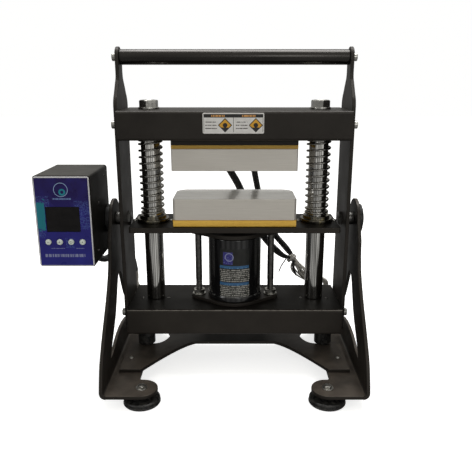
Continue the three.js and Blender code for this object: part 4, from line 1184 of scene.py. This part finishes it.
# ------------------------------------------------------------------ pivots, feet and control box
def build_pivots():
    for label, sign in SIDES:
        bolt, side = Box(f"pivot_bolt_{label}"), Box(f"frame_side_{label}")
        inner, outer, tip = side.inner(sign), side.outer(sign), bolt.outer(sign)
        stand = Box(f"stand_side_{label}").outer(sign) - STAND_SHEET - 0.3
        head = moved(hex_prism(19, -inner + 0.3, -inner + 4.3, turn=0.3), turn=UPSIDE_DOWN)
        shank = lathe(rounded([(8, outer - 5.2), (8, tip - 1), (7, tip), (0, tip)], 0.3), 48)
        collar = rounded([(8.1, outer + 0.3), (10, outer + 0.3), (10, stand), (8.1, stand)], 0.8)
        shape = moved(joined(head, shank, lathe(collar, 56)), (0, 0, bolt.z), facing_side(sign))
        remake(f"pivot_bolt_{label}", "turned", shape, "dark_steel", "frame")
    disc = Box("pivot_disc")
    shape = moved(sleeve(8.3, 21, -disc.x1, -disc.x0, 0.9, 72), (0, 0, disc.z), facing_side(-1))
    remake("pivot_disc", "turned", shape, "black_plastic", "stand")


def build_knob():
    """A round knob with eight finger hollows in its rim and a raised hub."""
    box = Box("lock_knob")
    thick = box.x1 - box.x0
    sides, hollows, bore = 96, 8, 8.3
    rim = []
    for i in range(sides):
        dip = max(0.0, 1 - abs((i * hollows / sides) % 1.0 - 0.5) / 0.22)
        rim.append((box.z1 - box.z0) / 2 - 1.6 * (1 - (1 - dip) ** 2))
    grip = ((-0.8, 0), (0, 0.8), (0, 4.6), (-0.5, 5.6), (-1.6, 6.2))
    hub = ((15.2, thick - 1.2), (14.4, thick - 0.4), (13.0, thick), (0, thick))
    rings = [circle(bore, thick - 2, sides), circle(bore, 0, sides)]
    rings += [circle([radius + inset for radius in rim], z, sides) for inset, z in grip]
    rings += [circle(radius, z, sides) for radius, z in hub]
    shape = moved(skin(rings, "flat"), (box.x0, 0, box.z), facing_side(1))
    remake("lock_knob", "moulded", shape, "black_plastic", "lock_knob")


def build_foot(end, label):
    pad, stud, body = Box(f"foot_pad_{end}_{label}"), Box(f"foot_stud_{end}_{label}"), f"foot_{end}_{label}"
    centre, radius = (stud.x, stud.y, 0), pad.half
    ribs = [(radius - 3, 0), (radius - 1.2, 0.5), (radius, 2.0), (radius - 0.2, 3.2), (radius - 1.2, 3.8),
            (radius - 0.6, 4.6), (radius - 0.7, 7.4), (radius - 2.2, 8.8), (16, 10.6), (13, 12.6),
            (12, pad.z1), (4.3, pad.z1), (4.3, 5.2)]
    shape = lathe([(0, 0), *rounded(ribs, 0.5), (0, 5.2)], 72)
    remake(f"foot_pad_{end}_{label}", "moulded", moved(shape, centre), "foot_rubber", body)
    lock = hex_prism(13, pad.z1 + 0.3, pad.z1 + 2.5, True, hole=4.1, turn=0.5)
    shape = joined(thread(4, stud.z0, stud.z1, 1.25), lock)
    remake(f"foot_stud_{end}_{label}", "cut", moved(shape, centre), "zinc_fastener", body)
    seat = Box(f"stand_side_{label}").z0 + STAND_SHEET
    washer = lathe(rounded([(4.3, seat), (8, seat), (8, seat + 1.1), (4.3, seat + 1.1)], 0.3), 40)
    nut = joined(washer, hex_prism(10, seat + 1.1, seat + 4.2, hole=4.1, turn=0.35))
    add_piece(f"foot_nut_{end}_{label}", moved(nut, centre), "zinc_fastener", "stand")


def build_control_box():
    for i in range(4):
        node = f"button_{i + 1}"
        cap = Box(node)
        radius, rim, length = 4.0, cap.half, cap.y1 - cap.y0
        corners = [(rim, 0), (rim, 2), (radius, 2), (radius, length - 1.1), (radius - 0.35, length - 0.55),
                   (radius - 0.9, length - 0.2), (2.2, length - 0.06)]
        shape = lathe([(0, 0), *rounded(corners, 0.2, 2), (0, length)], 48)
        remake(node, "cap", moved(shape, (cap.x, cap.y1, cap.z), FACING_FRONT), "button_plastic", node)
    housing, back = Box("controller_housing"), Box("controller_back")
    spots = ((-48, 268), (-64, 203), (-8, 300), (-8, 200))
    heads = [moved(button_screw(1.7, 1.0, 0.7), (housing.x1, y, z), facing_side(1)) for y, z in spots]
    inset, back_face = 7, 14
    heads += [moved(button_screw(2.6, 1.6, 1.1), (x, back_face, z), FACING_REAR)
              for x in (back.x0 + inset, back.x1 - inset) for z in (back.z0 + inset, back.z1 - inset)]
    add_piece("controller_screws", joined(*heads), "dark_steel", "stand")


def build_plate_label(x, z, half, tall):
    place = (x, Box("top_beam").y0, z)
    shape = moved(plate_of(rounded_outline(half, tall, 2.2), 0, 0.35, 0.1), place, FACING_FRONT)
    add_piece("plate_label", shape, "plate_label", "frame")


# ------------------------------------------------------------------ the scene
CYLINDER_LABEL = (-23, 23, 120, 196)
PLATE_LABEL = (-1.5, 378.8, 41.5, 13.8)


def make_looks():
    painted("frame_paint", (0.0128, 0.0108, 0.009), (0.0215, 0.0185, 0.0155), 0.46)
    make_beam_paint()
    make_stand_paint()
    painted("handle_paint", (0.004, 0.0036, 0.0032), (0.006, 0.0055, 0.005), 0.25, depth=0.02, glint=0.6)
    make_enamel()
    make_chrome()
    make_steel("zinc_fastener", (0.58, 0.57, 0.53), 0.24)
    make_steel("dark_steel", (0.2, 0.195, 0.185), 0.28)
    make_steel("spring_steel", (0.46, 0.45, 0.42), 0.2, 0.6)
    make_brass()
    make_rubber()
    make_aluminium()
    # The lower board gets painted light, the upper one painted shade from the top beam above it.
    make_insulation("insulation_board", 1.12)
    make_insulation("upper_insulation_painted_shade", 0.6)
    make_braid()
    make_harness()
    make_nylon()
    make_box_paint()
    make_panel_film()
    make_display_glass()
    make_board_laminate()
    make_black_plastic()
    make_button_plastic()
    make_cylinder_label(*CYLINDER_LABEL)
    make_plate_label(*PLATE_LABEL)


make_camera()
make_world()
make_lights()
make_floor()
bpy.context.scene.view_settings.view_transform = "Standard"
make_looks()

dress_nodes()
build_handle()
build_screws()
build_columns()
build_rest_buffers()
build_ram()
build_cylinder(*CYLINDER_LABEL)
build_tie_rods()
build_coupler()
build_leads()
build_tie()
build_harness()
build_pivots()
build_knob()
for end in ENDS:
    for label, _ in SIDES:
        build_foot(end, label)
build_control_box()
build_plate_label(*PLATE_LABEL)
